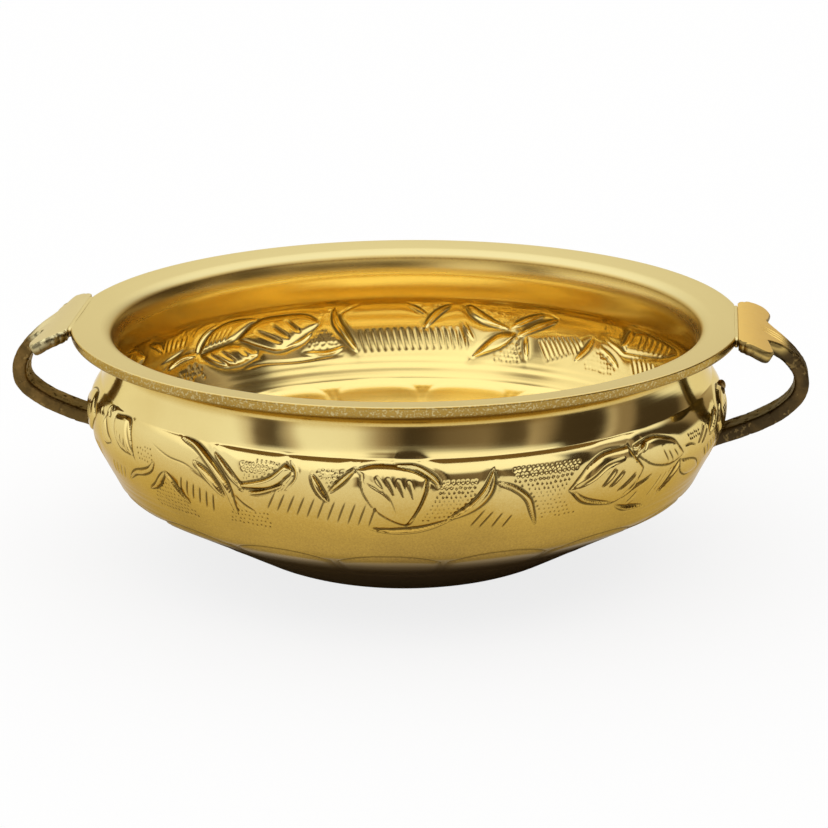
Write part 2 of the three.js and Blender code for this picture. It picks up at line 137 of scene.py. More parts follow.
def soften(field, passes):
    # each pass averages a cell with its neighbours by 1, 2, 1; columns wrap round and rows stop at the ends
    for _ in range(passes):
        field = (np.roll(field, 1, 1) + 2 * field + np.roll(field, -1, 1)) / 4
        padded = np.pad(field, ((1, 1), (0, 0)), "edge")
        field = (padded[:-2] + 2 * padded[1:-1] + padded[2:]) / 4
    return field


def newPiece(name, points, faces, normals=None, fields=None):
    # a mesh object from arrays of points in millimetres and lists of corners
    mesh = bpy.data.meshes.new(name)
    mesh.from_pydata((points * metre).tolist(), [], faces)
    mesh.polygons.foreach_set("use_smooth", np.ones(len(mesh.polygons), bool))
    for field, values in (fields or {}).items():
        mesh.attributes.new(field, "FLOAT", "POINT").data.foreach_set("value", values.astype(np.float32))
    if normals is not None:
        mesh.normals_split_custom_set_from_vertices(normals.tolist())
    mesh.update()
    piece = bpy.data.objects.new(name, mesh)
    bpy.context.scene.collection.objects.link(piece)
    return piece


def turnOutwards(piece):
    # the signed volume, a sixth of the sum of a . (b x c) over the triangles, is below zero when inside out
    mesh = piece.data
    mesh.calc_loop_triangles()
    corners = np.empty(len(mesh.loop_triangles) * 3, int)
    mesh.loop_triangles.foreach_get("vertices", corners)
    places = np.empty(len(mesh.vertices) * 3)
    mesh.vertices.foreach_get("co", places)
    a, b, c = places.reshape(-1, 3)[corners.reshape(-1, 3)].transpose(1, 0, 2)
    if (a * np.cross(b, c)).sum() < 0:
        mesh.flip_normals()


def profilePoint(radius, depth):
    return np.array([radius, bowl["height"] - depth])


def outerWallLine():
    # foot, underside slope, shoulder, lower belly, upper belly and neck, joined end to end
    b, point = bowl, profilePoint
    heel = point(b["heelRadius"], b["heelDepth"])
    underside = point(b["undersideRadius"], b["undersideDepth"])
    shoulder = point(b["shoulderRadius"], b["shoulderDepth"])
    belly = point(b["bellyRadius"], b["bellyDepth"])
    crease = point(b["creaseRadius"], b["creaseDepth"])
    slope = (underside - heel) / np.linalg.norm(underside - heel)
    swell = b["bellyRadius"] - b["shoulderRadius"]
    heelTurn = b["heelRadius"] - b["footRadius"]
    shoulderTurn = b["undersideDepth"] - b["shoulderDepth"]
    lowerTurn = b["shoulderDepth"] - b["bellyDepth"]
    upperTurn = b["bellyDepth"] - b["creaseDepth"]
    neckTurn = b["creaseDepth"] - b["neckDepth"]
    parts = [
        bendPoints((b["footRadius"], 0),
                   (b["footRadius"] + heelTurn * 0.42, (b["height"] - b["heelDepth"]) * 0.18),
                   heel - slope * heelTurn * 0.3, heel, 60),
        np.array([heel, underside]),
        bendPoints(underside, underside + slope * shoulderTurn * 0.6,
                   shoulder - [shoulderTurn * 0.2, shoulderTurn * 0.4], shoulder, 60),
        bendPoints(shoulder, shoulder + [swell * 0.3, lowerTurn * 0.26],
                   belly - [0, lowerTurn * 0.3], belly, 120),
        bendPoints(belly, belly + [0, upperTurn * 0.4],
                   crease + [upperTurn * 0.3, -upperTurn * 0.25], crease, 80),
        bendPoints(crease, crease + [-neckTurn * 0.19, neckTurn * 0.33],
                   point(b["neckRadius"] + neckTurn * 0.09, b["neckDepth"] + neckTurn * 0.33),
                   point(b["neckRadius"], b["neckDepth"]), 80),
    ]
    return fineLine(np.vstack([parts[0]] + [part[1:] for part in parts[1:]]))


def wallRadiusAt(z):
    # the radius of the plain outer wall at a height
    line = outerWallLine()
    return np.interp(z, line[:, 1], line[:, 0])


def rimLine():
    # under the flare, round the thick edge, over the flat top and down the throat
    b, point = bowl, profilePoint
    flare = b["rimRadius"] - b["neckRadius"]
    rise = b["neckDepth"] - b["rimEdge"]
    throat = b["neckRadius"] - b["wall"]
    lower, upper, edge, rim = b["rimLowerRound"], b["rimUpperRound"], b["rimEdge"], b["rimRadius"]
    lip = rim - flare * b["lipShare"]
    under = bendPoints(point(b["neckRadius"], b["neckDepth"]),
                       point(b["neckRadius"], b["neckDepth"] - rise * 0.42),
                       point(b["neckRadius"] + flare * 0.3, edge + rise * 0.22),
                       point(rim - lower, edge), 22)
    lowerRound = bendPoints(point(rim - lower, edge), point(rim - lower * 0.4, edge),
                            point(rim, edge - lower * 0.6), point(rim, edge - lower), 7)
    upperRound = bendPoints(point(rim, upper), point(rim, upper * 0.4),
                            point(rim - upper * 0.6, 0), point(rim - upper, 0), 5)
    throatLine = bendPoints(point(lip, b["lipDrop"]), point(lip - (lip - throat) * 0.55, b["lipDrop"] * 1.5),
                            point(throat, b["neckDepth"] * 0.42), point(throat, b["neckDepth"]), 22)
    top = np.linspace(point(rim - upper, 0), point(lip, b["lipDrop"]), 10)[1:-1]
    return np.vstack([under[1:], lowerRound[1:], upperRound, top, throatLine])


def wallSpacing(middle):
    # rows lie close where the wall is chased or ringed, and wider where it is plain
    depth = bowl["height"] - middle[:, 1]
    return np.interp(depth, [11, 18, 20, 46, 47, 58, 59, 73, 76, 92],
                     [0.8, 0.6, 0.4, 0.4, 0.36, 0.36, 0.6, 0.7, 1.6, 1.8])


# the chased band; the two halves have motifs of their own, listed further down
band = dict(
    turn=4.8,      # how far the whole band is turned round the bowl
    radius=120.0,  # where a degree is measured
    bold=1.2,      # how strongly leaves and ribs are raised
    leafCut=0.32, ribCut=0.42, strokeCut=0.5, pitCut=0.4,  # how deep edges, strokes and dots are cut
    strokeWidth=0.48, pitRadius=0.54,
)


class Chasing:
    # heights above the plain wall on a grid: columns go half round the bowl, rows go down by depth

    def __init__(self, depths, columns):
        self.perDegree = math.radians(1) * band["radius"]
        self.x = (np.arange(columns) / columns * 180 - 90) * self.perDegree
        self.y = depths
        self.height = np.zeros((len(depths), columns))

    def place(self, points):
        # degrees and depth to millimetres
        return np.array(points, float) * [self.perDegree, 1]

    def window(self, line, margin):
        # the part of the grid that a line can reach
        xs = slice(*np.searchsorted(self.x, [line[:, 0].min() - margin, line[:, 0].max() + margin]))
        ys = slice(*np.searchsorted(self.y, [line[:, 1].min() - margin, line[:, 1].max() + margin]))
        gridX, gridY = np.meshgrid(self.x[xs], self.y[ys])
        return ys, xs, gridX, gridY

    def near(self, gridX, gridY, line):
        # distance to the nearest stretch of a line, the share of the line passed there, and the side of it
        start, step = line[:-1], np.diff(line, axis=0)
        px, py = gridX[..., None] - start[:, 0], gridY[..., None] - start[:, 1]
        share = np.clip((px * step[:, 0] + py * step[:, 1]) / np.maximum((step**2).sum(1), 1e-9), 0, 1)
        square = (px - share * step[:, 0]) ** 2 + (py - share * step[:, 1]) ** 2
        nearest = square.argmin(-1)[..., None]
        side = px * step[:, 1] - py * step[:, 0]
        square, share, side = (np.take_along_axis(v, nearest, -1)[..., 0] for v in (square, share, side))
        return np.sqrt(square), (nearest[..., 0] + share) / len(start), np.sign(side)

    def within(self, gridX, gridY, outline):
        # even-odd rule: counts the edges of the outline to the right of each point
        x1, y1 = outline[:, 0], outline[:, 1]
        x2, y2 = np.roll(x1, -1), np.roll(y1, -1)
        gx, gy = gridX[..., None], gridY[..., None]
        rise = np.where(np.abs(y2 - y1) < 1e-9, 1e-9, y2 - y1)
        crosses = ((y1 > gy) != (y2 > gy)) & (gx < (x2 - x1) * (gy - y1) / rise + x1)
        return crosses.sum(-1) % 2 == 1

    def line(self, points, width, cut, taper=0.5):
        # a round-bottomed cut, exp(-(d / width)^2), fading at its ends, with a small burr beside it
        curve = smoothLine(self.place(points))
        ys, xs, gx, gy = self.window(curve, 4 * width)
        distance, along, _ = self.near(gx, gy, curve)
        strength = np.sin(np.pi * np.clip(along, 0.02, 0.98)) ** taper
        shape = np.exp(-(distance / width) ** 2) - 0.3 * np.exp(-((distance - 1.9 * width) / width) ** 2)
        self.height[ys, xs] -= cut * strength * shape

    def rib(self, points, width, rise, lean=0.0):
        # a raised crescent, (1 - across^2)^1.3, widest halfway and pointed at both ends, cut in along its
        # foot, with a soft trough beside it; lean makes the side right of travel steeper than the other
        curve = smoothLine(self.place(points))
        ys, xs, gx, gy = self.window(curve, width + 5)
        distance, along, side = self.near(gx, gy, curve)
        breadth = width * np.sin(np.pi * np.clip(along, 0.004, 0.996)) ** 0.7
        across = side * distance / np.maximum(breadth, 0.05)
        crest = (1 - np.clip(np.abs(across + lean * (1 - across**2)), 0, 1) ** 2) ** 1.3
        tall = band["bold"] * rise * (breadth / width) ** 0.6
        self.height[ys, xs] += np.where(np.abs(across) < 1, tall * crest, 0)
        foot = band["ribCut"] * np.exp(-((distance - breadth - 0.15) / 0.4) ** 2) * (breadth / width) ** 0.4
        trough = 0.3 * tall * np.exp(-((distance - breadth - 0.8) / 1.7) ** 2) * (1 + 0.5 * side)
        self.height[ys, xs] -= foot + trough * (distance > breadth * 0.9)

    def leaf(self, upper, lower, swell, tilt=0.0, edge=1.2):
        # the wall between two edges swells to a soft dome, 1 - exp(-(d / edge)^1.5); tilt lifts it
        # towards its upper edge, and both edges are cut in
        first, second = smoothLine(self.place(upper)), smoothLine(self.place(lower))
        outline = np.vstack([first, second[::-1]])
        ys, xs, gx, gy = self.window(outline, 3)
        distance, _, _ = self.near(gx, gy, np.vstack([outline, outline[:1]]))
        toUpper, _, _ = self.near(gx, gy, first)
        toLower, _, _ = self.near(gx, gy, second)
        inside = self.within(gx, gy, outline)
        lean = toLower / np.maximum(toUpper + toLower, 1e-6)
        dome = band["bold"] * swell * (1 - np.exp(-(distance / edge) ** 1.5)) * (1 - tilt + tilt * 2 * lean)
        self.height[ys, xs] += np.where(inside, dome, -0.45 * swell * np.exp(-(distance / 2.0) ** 2))
        self.height[ys, xs] -= band["leafCut"] * np.exp(-(distance / 0.5) ** 2)

    def strokes(self, ends, width=band["strokeWidth"], cut=band["strokeCut"]):
        # one short tapered cut from each first point to its last
        for points in ends:
            self.line(points, width, cut, taper=0.35)

    def strokeRow(self, first, last, count, width=band["strokeWidth"], cut=band["strokeCut"]):
        # evenly spaced strokes from a first pair of ends to a last pair
        share = np.linspace(0, 1, count)[:, None, None]
        self.strokes((1 - share) * np.array(first) + share * np.array(last), width, cut)

    def pits(self, corners, pitch, drift, seed):
        # punched dots in rows a pitch apart, every other row set over by half, each a little off its place;
        # drift tips the rows down to the right
        outline = self.place(corners)
        ys, xs, gx, gy = self.window(outline, pitch)
        wander = np.random.default_rng(seed).uniform(-0.16, 0.16, (2, 64, 64)) * pitch
        row = np.round((gy - drift * gx) / pitch).astype(int)
        offset = (row % 2) * 0.5
        column = np.round(gx / pitch - offset).astype(int)
        centreX = (column + offset) * pitch + wander[0, row % 64, column % 64]
        centreY = row * pitch + drift * centreX + wander[1, row % 64, column % 64]
        shape = np.exp(-(np.hypot(gx - centreX, gy - centreY) / band["pitRadius"]) ** 2)
        self.height[ys, xs] -= np.where(self.within(centreX, centreY, outline), band["pitCut"] * shape, 0)

    def chase(self, motifs):
        # every motif adds its own heights, so their order does not matter
        makers = dict(leaves=self.leaf, ribs=self.rib, cuts=self.line, hatching=self.strokeRow,
                      strokes=self.strokes, dots=self.pits)
        for kind, make in makers.items():
            for values in motifs[kind]:
                make(*values)


# the front half, from the left handle to the right one; points are (degrees round from the front, depth)
frontBand = dict(
    leaves=[  # upper edge, lower edge, how far it swells, tilt, width of its rounded edge
        ([(-89, 33), (-84, 25), (-78, 23.5), (-73.5, 29)],
         [(-89, 33.5), (-84, 38.5), (-78, 38), (-73.5, 30)], 0.6),
        ([(-67.3, 26), (-66, 28), (-64.5, 31), (-63, 33)],
         [(-67.3, 26.5), (-67.5, 31), (-65.8, 35), (-63, 33.6)], 0.5),
        ([(-63.3, 23.2), (-58, 22.4), (-55.6, 27.5), (-54.2, 32.8)],
         [(-63.3, 24), (-61.4, 29), (-58.5, 33), (-54.2, 33.6)], 0.62),
        ([(-28.6, 33), (-23.5, 29.5), (-20.4, 24.2)],  # the crescent under the half moon of dots
         [(-28.6, 34.4), (-23, 33.2), (-19.9, 28), (-19.2, 25.6)], 0.95, 0.2, 0.8),
        ([(-8.3, 24.6), (-5, 22.8), (0.4, 23.6), (3.6, 27)],  # the dome leaf in the middle
         [(-7.6, 26), (-6.8, 33), (-4.4, 40), (0, 45), (1.9, 38.5), (3.2, 32)], 0.55, 0, 1.6),
        ([(27.8, 36), (30, 31.4), (32, 28), (35.2, 25.3), (40.4, 25)],  # the big leaf that points left
         [(27.8, 36.4), (30.4, 40.7), (33.2, 43.2), (37.7, 45.4), (41.5, 41), (43.6, 34)], 0.85, 0.15, 1.5),
        ([(42, 25.8), (46.7, 24.4), (51.9, 27.4), (53.9, 31.5), (55.3, 34.6)],
         [(42, 27), (43.9, 31), (46.7, 34.4), (51, 36.4), (55, 35.2)], 0.8, 0.2),
        ([(54.8, 37.2), (59, 39), (61.8, 41.3), (63.8, 44.4)],
         [(54.8, 38), (56, 42.4), (59.5, 45.6), (63.8, 44.8)], 0.6),
        ([(72.4, 33), (76, 25.5), (82, 24), (86.5, 30)],
         [(72.4, 33.6), (76.5, 39.5), (82, 39), (86.5, 31)], 0.7),
    ],
    ribs=[  # points, half width, height, lean
        ([(-47.8, 32.5), (-49, 36), (-51.4, 38.5), (-54.5, 40.5), (-58, 45)], 1.0, 0.6),
        ([(-45, 35), (-46.2, 38), (-48.2, 42), (-51, 44.9)], 0.95, 0.75),
        ([(-45, 35), (-43.6, 38), (-42.2, 42), (-40.4, 46.2)], 0.95, 0.75),
        ([(-38, 28.2), (-35.6, 31.4), (-33.6, 35), (-31.8, 39.4)], 1.35, 0.85, 0.2),
        ([(-42.2, 21.8), (-38.2, 23.5), (-35, 27), (-32.3, 32), (-30.7, 37), (-30.1, 47)], 1.25, 1.05, 0.15),
        ([(-34.6, 23.5), (-31.9, 27.5), (-29.5, 32), (-27.9, 35.5)], 0.95, 0.75),
        ([(-27, 36), (-24.4, 34.8), (-20.3, 31.3)], 0.7, 0.6),
        ([(-15.7, 26.6), (-14.4, 31.5), (-12.7, 36.6)], 1.2, 0.9, 0.2),
        ([(-12.7, 32.4), (-10.6, 28.4), (-8.3, 24)], 0.85, 0.75),
        ([(-2, 22.8), (1.8, 23.9), (4.6, 27.5), (5.4, 30.6)], 1.0, 0.9),
        ([(-6.6, 46.4), (-2, 47.4), (2.6, 46.4), (8, 42.4)], 0.8, 0.7),
        ([(14.5, 25.4), (13.4, 32), (11, 37.7), (6.8, 42.8)], 1.85, 1.15, 0.15),  # the bold crescent
        ([(15, 29.6), (17.8, 32.4), (20.1, 36.8), (21.3, 42.8), (22.4, 48.6)], 0.9, 0.75),
        ([(28.4, 36.6), (30.4, 40.6), (33.2, 43.1), (37.7, 45.3)], 0.9, 0.7),
        ([(41.6, 30.4), (43.2, 27.6), (44.9, 25)], 0.7, 0.5),
        ([(54.8, 36.6), (52.3, 42), (49.7, 47.8)], 0.9, 0.9),
        ([(38.6, 47.2), (41.1, 49.3), (43.5, 50.2), (46.6, 51)], 0.7, 0.6),
        ([(66.4, 33.8), (69, 31), (71.6, 26.4)], 1.0, 0.8),
    ],
    cuts=[  # points, width, depth
        ([(-58, 23.5), (-55.8, 29), (-53.4, 35.5)], 0.5, 0.55),
        ([(-49.4, 26), (-44.2, 29), (-39.8, 30), (-35.4, 33.5)], 0.5, 0.4),
        ([(-29.5, 38.5), (-28, 41), (-26.1, 43.4)], 0.6, 0.6),
        ([(-19.7, 23.6), (-18.6, 28), (-20.3, 33.2)], 0.5, 0.5),
        ([(3.4, 27), (3, 32), (1.8, 38.5), (-0.15, 45.2)], 0.55, 0.6),
        ([(-6.6, 28), (-3, 33), (-1.6, 40)], 0.45, 0.4),
        ([(14.1, 28), (12.9, 33), (10.9, 37.4)], 0.34, 0.4),
        ([(28.6, 35.4), (32, 33), (35, 29.8), (38.6, 28.6)], 0.5, 0.6),
        ([(55.2, 32), (57.8, 32.3), (60.2, 34.2)], 0.45, 0.45),
    ],
    hatching=[  # the first stroke, the last stroke, how many
        ([(-85, 29), (-83.4, 33.5)], [(-77.5, 27.5), (-75.9, 32)], 5),
        ([(-84, 41), (-85.5, 46)], [(-71, 38.5), (-72.5, 45)], 9),
        ([(-60.3, 28), (-59, 31.5)], [(-57.4, 29), (-56, 33)], 3),
        ([(-63, 40.5), (-64.4, 45.5)], [(-58.4, 40.5), (-60.2, 45.6)], 4, 0.42, 0.35),
        ([(-40.8, 35), (-41.7, 40.8)], [(-34.1, 38.8), (-35.2, 46.6)], 6),
        ([(-21.9, 34), (-23.6, 41)], [(-4.9, 36.6), (-6.4, 45.4)], 11),
        ([(-4.8, 27), (-3.6, 31)], [(0.4, 28.5), (1, 33.5)], 4),
        ([(64, 37.5), (66.6, 42)], [(69, 36), (71.4, 41)], 4),
        ([(76, 29.5), (77.8, 34.5)], [(82, 28.4), (83.6, 33.6)], 5),
        ([(74, 42), (72.6, 47)], [(88, 39), (86.4, 46)], 9),
    ],
    strokes=[  # the ends of each stroke in a group
        ([[(-70, 25), (-68.3, 26.2)], [(-66.7, 23.5), (-65, 25)]],),
        ([[(13, 39.5), (10.7, 46)], [(14.4, 40.3), (12.2, 46.8)], [(16, 41.3), (14.4, 47.1)],
          [(17.7, 42.6), (16.3, 47.5)]],),
        ([[(48.4, 29.6), (50.2, 35)], [(49.9, 30.6), (51.6, 35.3)], [(51.5, 30.8), (53.1, 34.5)]],),
        ([[(60.6, 34), (63.6, 28.8)], [(62.2, 35), (65, 30.5)]],),
        ([[(48.9, 39.6), (46.7, 46.5)], [(50.3, 39.6), (48.5, 45.2)], [(51.7, 38.8), (49.5, 44.6)]],),
        ([[(36.7, 31.3), (34, 36.6)], [(38.5, 32.6), (35.6, 37.4)], [(41.3, 34.6), (37.6, 39.7)],
          [(42.6, 36.6), (39.4, 42)], [(45.9, 38), (42, 41), (40, 44.5)], [(43, 43.6), (41.7, 46.8)]],
         0.62, 0.75),
    ],
    dots=[  # corners of the dotted ground, pitch, drift, seed
        ([(-53.6, 28.6), (-48.4, 28.6), (-47.6, 33), (-52, 35)], 1.7, 0.1, 3),
        ([(-49.5, 43.2), (-46.2, 39.6), (-43.6, 40), (-41, 46.5), (-39, 51.6), (-50.5, 51.8)], 1.75, 0, 5),
        ([(-31, 42.5), (-27.6, 43.2), (-23.5, 43.5), (-23.8, 49.6), (-32, 49.6)], 1.75, 0, 7),
        ([(-28.8, 24.4), (-21, 24.2), (-23, 28.6), (-27.6, 32)], 1.6, 0.05, 11),
        ([(-14.8, 25.4), (-9.8, 25.4), (-12.6, 31)], 1.6, 0, 13),
        ([(5.4, 28.2), (11.6, 28.2), (11.2, 36), (7.4, 42), (2.2, 43.4), (4.4, 34)], 1.6, 0, 17),
        ([(17.4, 25.6), (30.6, 25.4), (27.6, 32), (26.4, 38), (29.6, 45.6), (23.2, 45.6), (21.4, 37),
          (17.8, 30)], 1.75, 0, 19),
        ([(56.6, 27.4), (62, 27.4), (61.4, 31.2), (57.2, 31.2)], 1.6, 0, 23),
    ],
)

# the back half, in degrees round from the back, from the right handle to the left one; its forms are also
# seen from the front, on the inside of the wall
backBand = dict(
    leaves=[
        ([(-86.5, 31), (-82, 25), (-76, 25), (-70, 30)],
         [(-86.5, 32), (-82, 38), (-76, 38.5), (-70, 31)], 0.6),
        ([(-66, 28), (-59, 25.4), (-53, 26.4), (-48.6, 34)],  # the hatched leaf
         [(-66, 29.6), (-60, 34.6), (-50.5, 38.2), (-48.8, 35.4)], 0.6),
        ([(-22.8, 37.6), (-18.6, 39.4), (-13.8, 49)],  # the long blade under the crossed ridges
         [(-23, 39), (-20, 44.6), (-13.8, 49.6)], 0.8, 0.2, 0.8),
        ([(-21.4, 35), (-17.8, 31.8), (-13.4, 24.6)],  # the crescent under the half moon of dots
         [(-21.4, 36), (-16.4, 34.4), (-13.4, 30.4), (-12.4, 25.4)], 0.95, 0.2, 0.8),
        ([(18.3, 32.2), (21.3, 28), (25.6, 27), (31.9, 27.8), (36.4, 34.6)],  # the big leaf with three dashes
         [(18.4, 33.4), (20.8, 37.6), (24.5, 42), (27.7, 43.8), (31.9, 41), (36.4, 36.4)], 0.9, 0.15, 1.5),
        ([(32.2, 26.6), (38.3, 25.6), (43.1, 29.4), (46.6, 37.8)],
         [(32.4, 27.8), (36.4, 34.2), (39.8, 36.4), (46.4, 38.6)], 0.85, 0.1),
        ([(32.6, 42.8), (37.3, 37.9), (42, 37.4), (46.4, 38.9)],
         [(32.8, 43.8), (37, 46.4), (42, 45.4), (46.4, 40)], 0.8, 0.1),
        ([(63, 31), (68, 25), (76, 24.6), (84, 30)],
         [(63, 32), (68, 38), (76, 38.6), (84, 31)], 0.65),
    ],
    ribs=[
        ([(-52.2, 25.6), (-50.8, 29.4), (-48.9, 35)], 1.2, 1.0, 0.2),
        ([(-60, 35.4), (-50.5, 38.4), (-47, 36.4), (-42.6, 32)], 0.8, 0.7),
        ([(-48.6, 44.7), (-46, 41.6), (-42.4, 37.6)], 1.0, 0.8),
        ([(-41, 34.3), (-39.6, 40), (-37.2, 46.2)], 1.15, 0.95, 0.2),
        ([(-32.9, 28.2), (-28, 33), (-23.3, 38.8)], 1.4, 1.2, 0.25),  # two ridges that cross above a stem
        ([(-30, 26.2), (-25.6, 30.4), (-21.6, 35.2)], 1.2, 1.05, 0.25),
        ([(-25.2, 38.6), (-25.4, 43), (-26.2, 48.4)], 0.9, 0.9),
        ([(-12, 33.4), (-12.6, 37.6), (-14.2, 42.8)], 0.8, 0.7),
        ([(-9.6, 24.6), (-6.2, 30), (-3.4, 37.6)], 1.35, 1.1, 0.2),
        ([(-4.5, 31.2), (-2.2, 28), (0.4, 24)], 0.85, 0.8),
        ([(15.2, 25.2), (14.7, 33), (13.1, 39), (10.6, 47)], 1.7, 1.25, 0.2),  # the blade beside the panel
        ([(13.2, 44.4), (17, 46.4), (22.6, 45.6)], 0.8, 0.6),
        ([(19.4, 35.8), (22.4, 40.4), (27.4, 43.6)], 0.9, 0.7),
        ([(42, 25.8), (45.2, 31), (47.8, 38.2)], 1.1, 1.0, 0.2),
        ([(47.2, 38.4), (51.4, 38.2), (57, 41)], 0.9, 0.9),
        ([(56.8, 32.6), (58.6, 28.6), (62.6, 25.4)], 1.1, 1.0),
    ],
    cuts=[
        ([(-32.9, 28.6), (-31, 26.2), (-28.4, 25.6)], 0.5, 0.5),
        ([(9.9, 24.2), (12, 26.6), (13.8, 29.6), (12.3, 36), (10.4, 46)], 0.55, 0.5),
        ([(2.2, 26.8), (5, 26), (8.6, 26.4)], 0.4, 0.25),
        ([(14, 47.6), (24, 48.4), (32, 47.4), (36.4, 48.2)], 0.5, 0.35),
        ([(49.8, 34), (53, 36.4), (58.4, 38.6)], 0.55, 0.55),
    ],
    hatching=[
        ([(-82, 29), (-80.4, 34)], [(-76, 28.5), (-74.4, 33.5)], 4),
        ([(-72, 38), (-73.6, 45)], [(-62, 41), (-63.6, 47)], 7),
        ([(-63, 28.2), (-60.8, 34.2)], [(-54.2, 28), (-52.6, 34.6)], 6),
        ([(-57.4, 39), (-59, 43.4)], [(-51.6, 39.4), (-53.4, 44.6)], 5),
        ([(-36.4, 35.6), (-38.8, 41.4)], [(-28.3, 39.4), (-30.9, 47)], 9),
        ([(-11.8, 37), (-12.8, 45.2)], [(9.8, 38.4), (8.9, 46.6)], 16),
        ([(37.6, 29.8), (39.9, 35.6)], [(42.6, 31.4), (44.3, 36.2)], 5),
        ([(50, 28.8), (50.6, 33)], [(57, 28.2), (57.4, 32.8)], 6),
        ([(67, 28.6), (68.6, 34)], [(75, 28.4), (76.6, 34)], 5),
        ([(62, 38.6), (60.6, 45)], [(76, 41), (74.4, 47)], 9),
    ],
    strokes=[
        ([[(25.2, 30.2), (22.4, 36.2)], [(28.4, 31.8), (24.9, 38.2)], [(31.8, 33.6), (26.8, 39.8)]],
         0.75, 0.85),
        ([[(36, 40.4), (34.4, 43.8)], [(40.8, 39.6), (38, 44.4)], [(43.8, 39.8), (40.2, 45)]], 0.7, 0.8),
    ],
    dots=[
        ([(-49, 27.4), (-43.6, 27.4), (-44.6, 31.6), (-48, 31.6)], 1.7, 0, 29),
        ([(-47.6, 42.6), (-42.4, 39), (-39.6, 45.6), (-41, 49), (-48, 48)], 1.75, 0, 31),
        ([(-24.2, 41.6), (-21.8, 41.6), (-18.6, 47), (-19, 50.6), (-24.6, 49.6)], 1.75, 0, 37),
        ([(-26, 25), (-14.6, 24.6), (-17.6, 30.4), (-21, 33.4), (-24.6, 31)], 1.6, 0.05, 41),
        ([(-7, 25.2), (-1.4, 25.2), (-3.6, 30.8)], 1.5, 0, 43),
        ([(16.2, 25.6), (18.8, 25.6), (18, 32), (16.2, 32)], 1.6, 0, 47),
        ([(14.8, 40.6), (17.4, 36.4), (19.6, 37.6), (22, 44.2), (14, 44.2)], 1.7, 0, 53),
        ([(46.4, 25.6), (51.6, 25.6), (52.6, 30.2), (48.2, 30.2)], 1.7, 0, 59),
        ([(46.8, 42.4), (53.4, 43), (52.8, 47.6), (46.8, 47.6)], 1.7, 0, 61),
    ],
)

# the petals raised under the belly: arches that open towards the base
petals = dict(count=17, start=-3.5, width=0.94, length=9.5, top=58.6, rise=0.42, cut=0.27, fade=20.0)


def chasePetals(angles, depths, reach):
    # arch edge at share u across a petal: length * (1 - (1 - |u|^2.4)^0.5); the wall below it is raised,
    # the edge is cut in twice, and all of it fades with the distance down the slope
    pitch = 360 / petals["count"]
    share = (angles[None] - petals["start"]) / pitch
    across = np.abs(share - np.round(share)) * 2 / petals["width"]
    down = reach[:, None] - np.interp(petals["top"], depths, reach)
    arch = petals["length"] * (1 - np.sqrt(np.clip(1 - across**2.4, 0, 1)))
    past = down - arch
    fade = np.exp(-(np.maximum(down, 0) / petals["fade"]) ** 2) * (down > -3)
    raised = petals["rise"] * (1 - np.exp(-(np.maximum(past, 0) / 1.4) ** 2)) * (across < 1)
    side = smoothStep(0, 0.16, 1 - across)
    edge = np.exp(-(past / 0.6) ** 2) + 0.6 * np.exp(-((past - 2.3) / 0.45) ** 2)
    cusp = np.exp(-((1 - across) / 0.07) ** 2) * (down > 4)
    return fade * (raised * side - petals["cut"] * edge * (across < 1) - petals["cut"] * cusp)


def wallRelief(outer, fine, angles):
    # the sum of the chased band, the petals, the rings, each exp(-((depth - at) / width)^2), and a slight
    # wander of the hand; it fades out towards the rim and the foot
    half = len(angles) // 2
    depths = bowl["height"] - outer[:, 1]
    down = depths[::-1]  # the band and the petals are worked out from the rim downwards
    reach = distanceAlong(fine)
    reach = np.interp(down, (bowl["height"] - fine[:, 1])[::-1], (reach[-1] - reach)[::-1])
    halves = [Chasing(down, half), Chasing(down, half)]
    for work, motifs in zip(halves, (frontBand, backBand)):
        work.chase(motifs)
    relief = np.concatenate([work.height for work in halves], axis=1)
    relief = (relief + chasePetals(angles, down, reach))[::-1]
    rings = sum(rise * np.exp(-((depths - at) / width) ** 2) for at, width, rise in bowl["rings"])
    relief = relief + rings[:, None]
    ends = (smoothStep(11.2, 15, depths) * smoothStep(91, 84, depths))[:, None]
    degrees, depth = np.meshgrid(angles, depths)
    return (relief + bowl["wander"] * latticeNoise(31, degrees / 7, depth / 9)) * ends


def innerWall(outer, fine, relief):
    # rows a little wider apart, a wall's thickness inside the outer wall, with the same relief softened;
    # it is fainter below the belly
    line = resample(fine, lambda middle: 1.25 * wallSpacing(middle))
    share = np.interp(line[:, 1], outer[:, 1], np.arange(len(outer)))
    lower = np.minimum(share.astype(int), len(outer) - 2)
    part = (share - lower)[:, None]
    soft = soften(relief, 2)
    heights = 0.9 * ((1 - part) * soft[lower] + part * soft[lower + 1])
    heights *= np.interp(line[:, 1], bowl["height"] - np.array([60, 55]), [0.35, 1])[:, None]
    normals = rightOf(line)
    inner = line - bowl["wall"] * normals
    kept = inner[:, 1] > bowl["floorThickness"] + 0.05
    return inner[kept][::-1], normals[kept][::-1], heights[kept][::-1]


def wedgeFaces(rows, wide):
    # quads between neighbouring rows and columns, triangles to the two poles, and both cut sides closed
    index = 1 + np.arange((rows - 2) * wide).reshape(rows - 2, wide)
    last = 1 + index.size
    quads = np.stack([index[:-1, :-1], index[:-1, 1:], index[1:, 1:], index[1:, :-1]], -1).reshape(-1, 4)
    under = np.stack([np.zeros(wide - 1, int), index[0, 1:], index[0, :-1]], -1)
    over = np.stack([np.full(wide - 1, last), index[-1, :-1], index[-1, 1:]], -1)
    startCut = [0, *index[:, 0].tolist(), last]
    endCut = [0, *index[:, -1].tolist(), last][::-1]
    return quads.tolist() + under.tolist() + over.tolist() + [startCut, endCut]


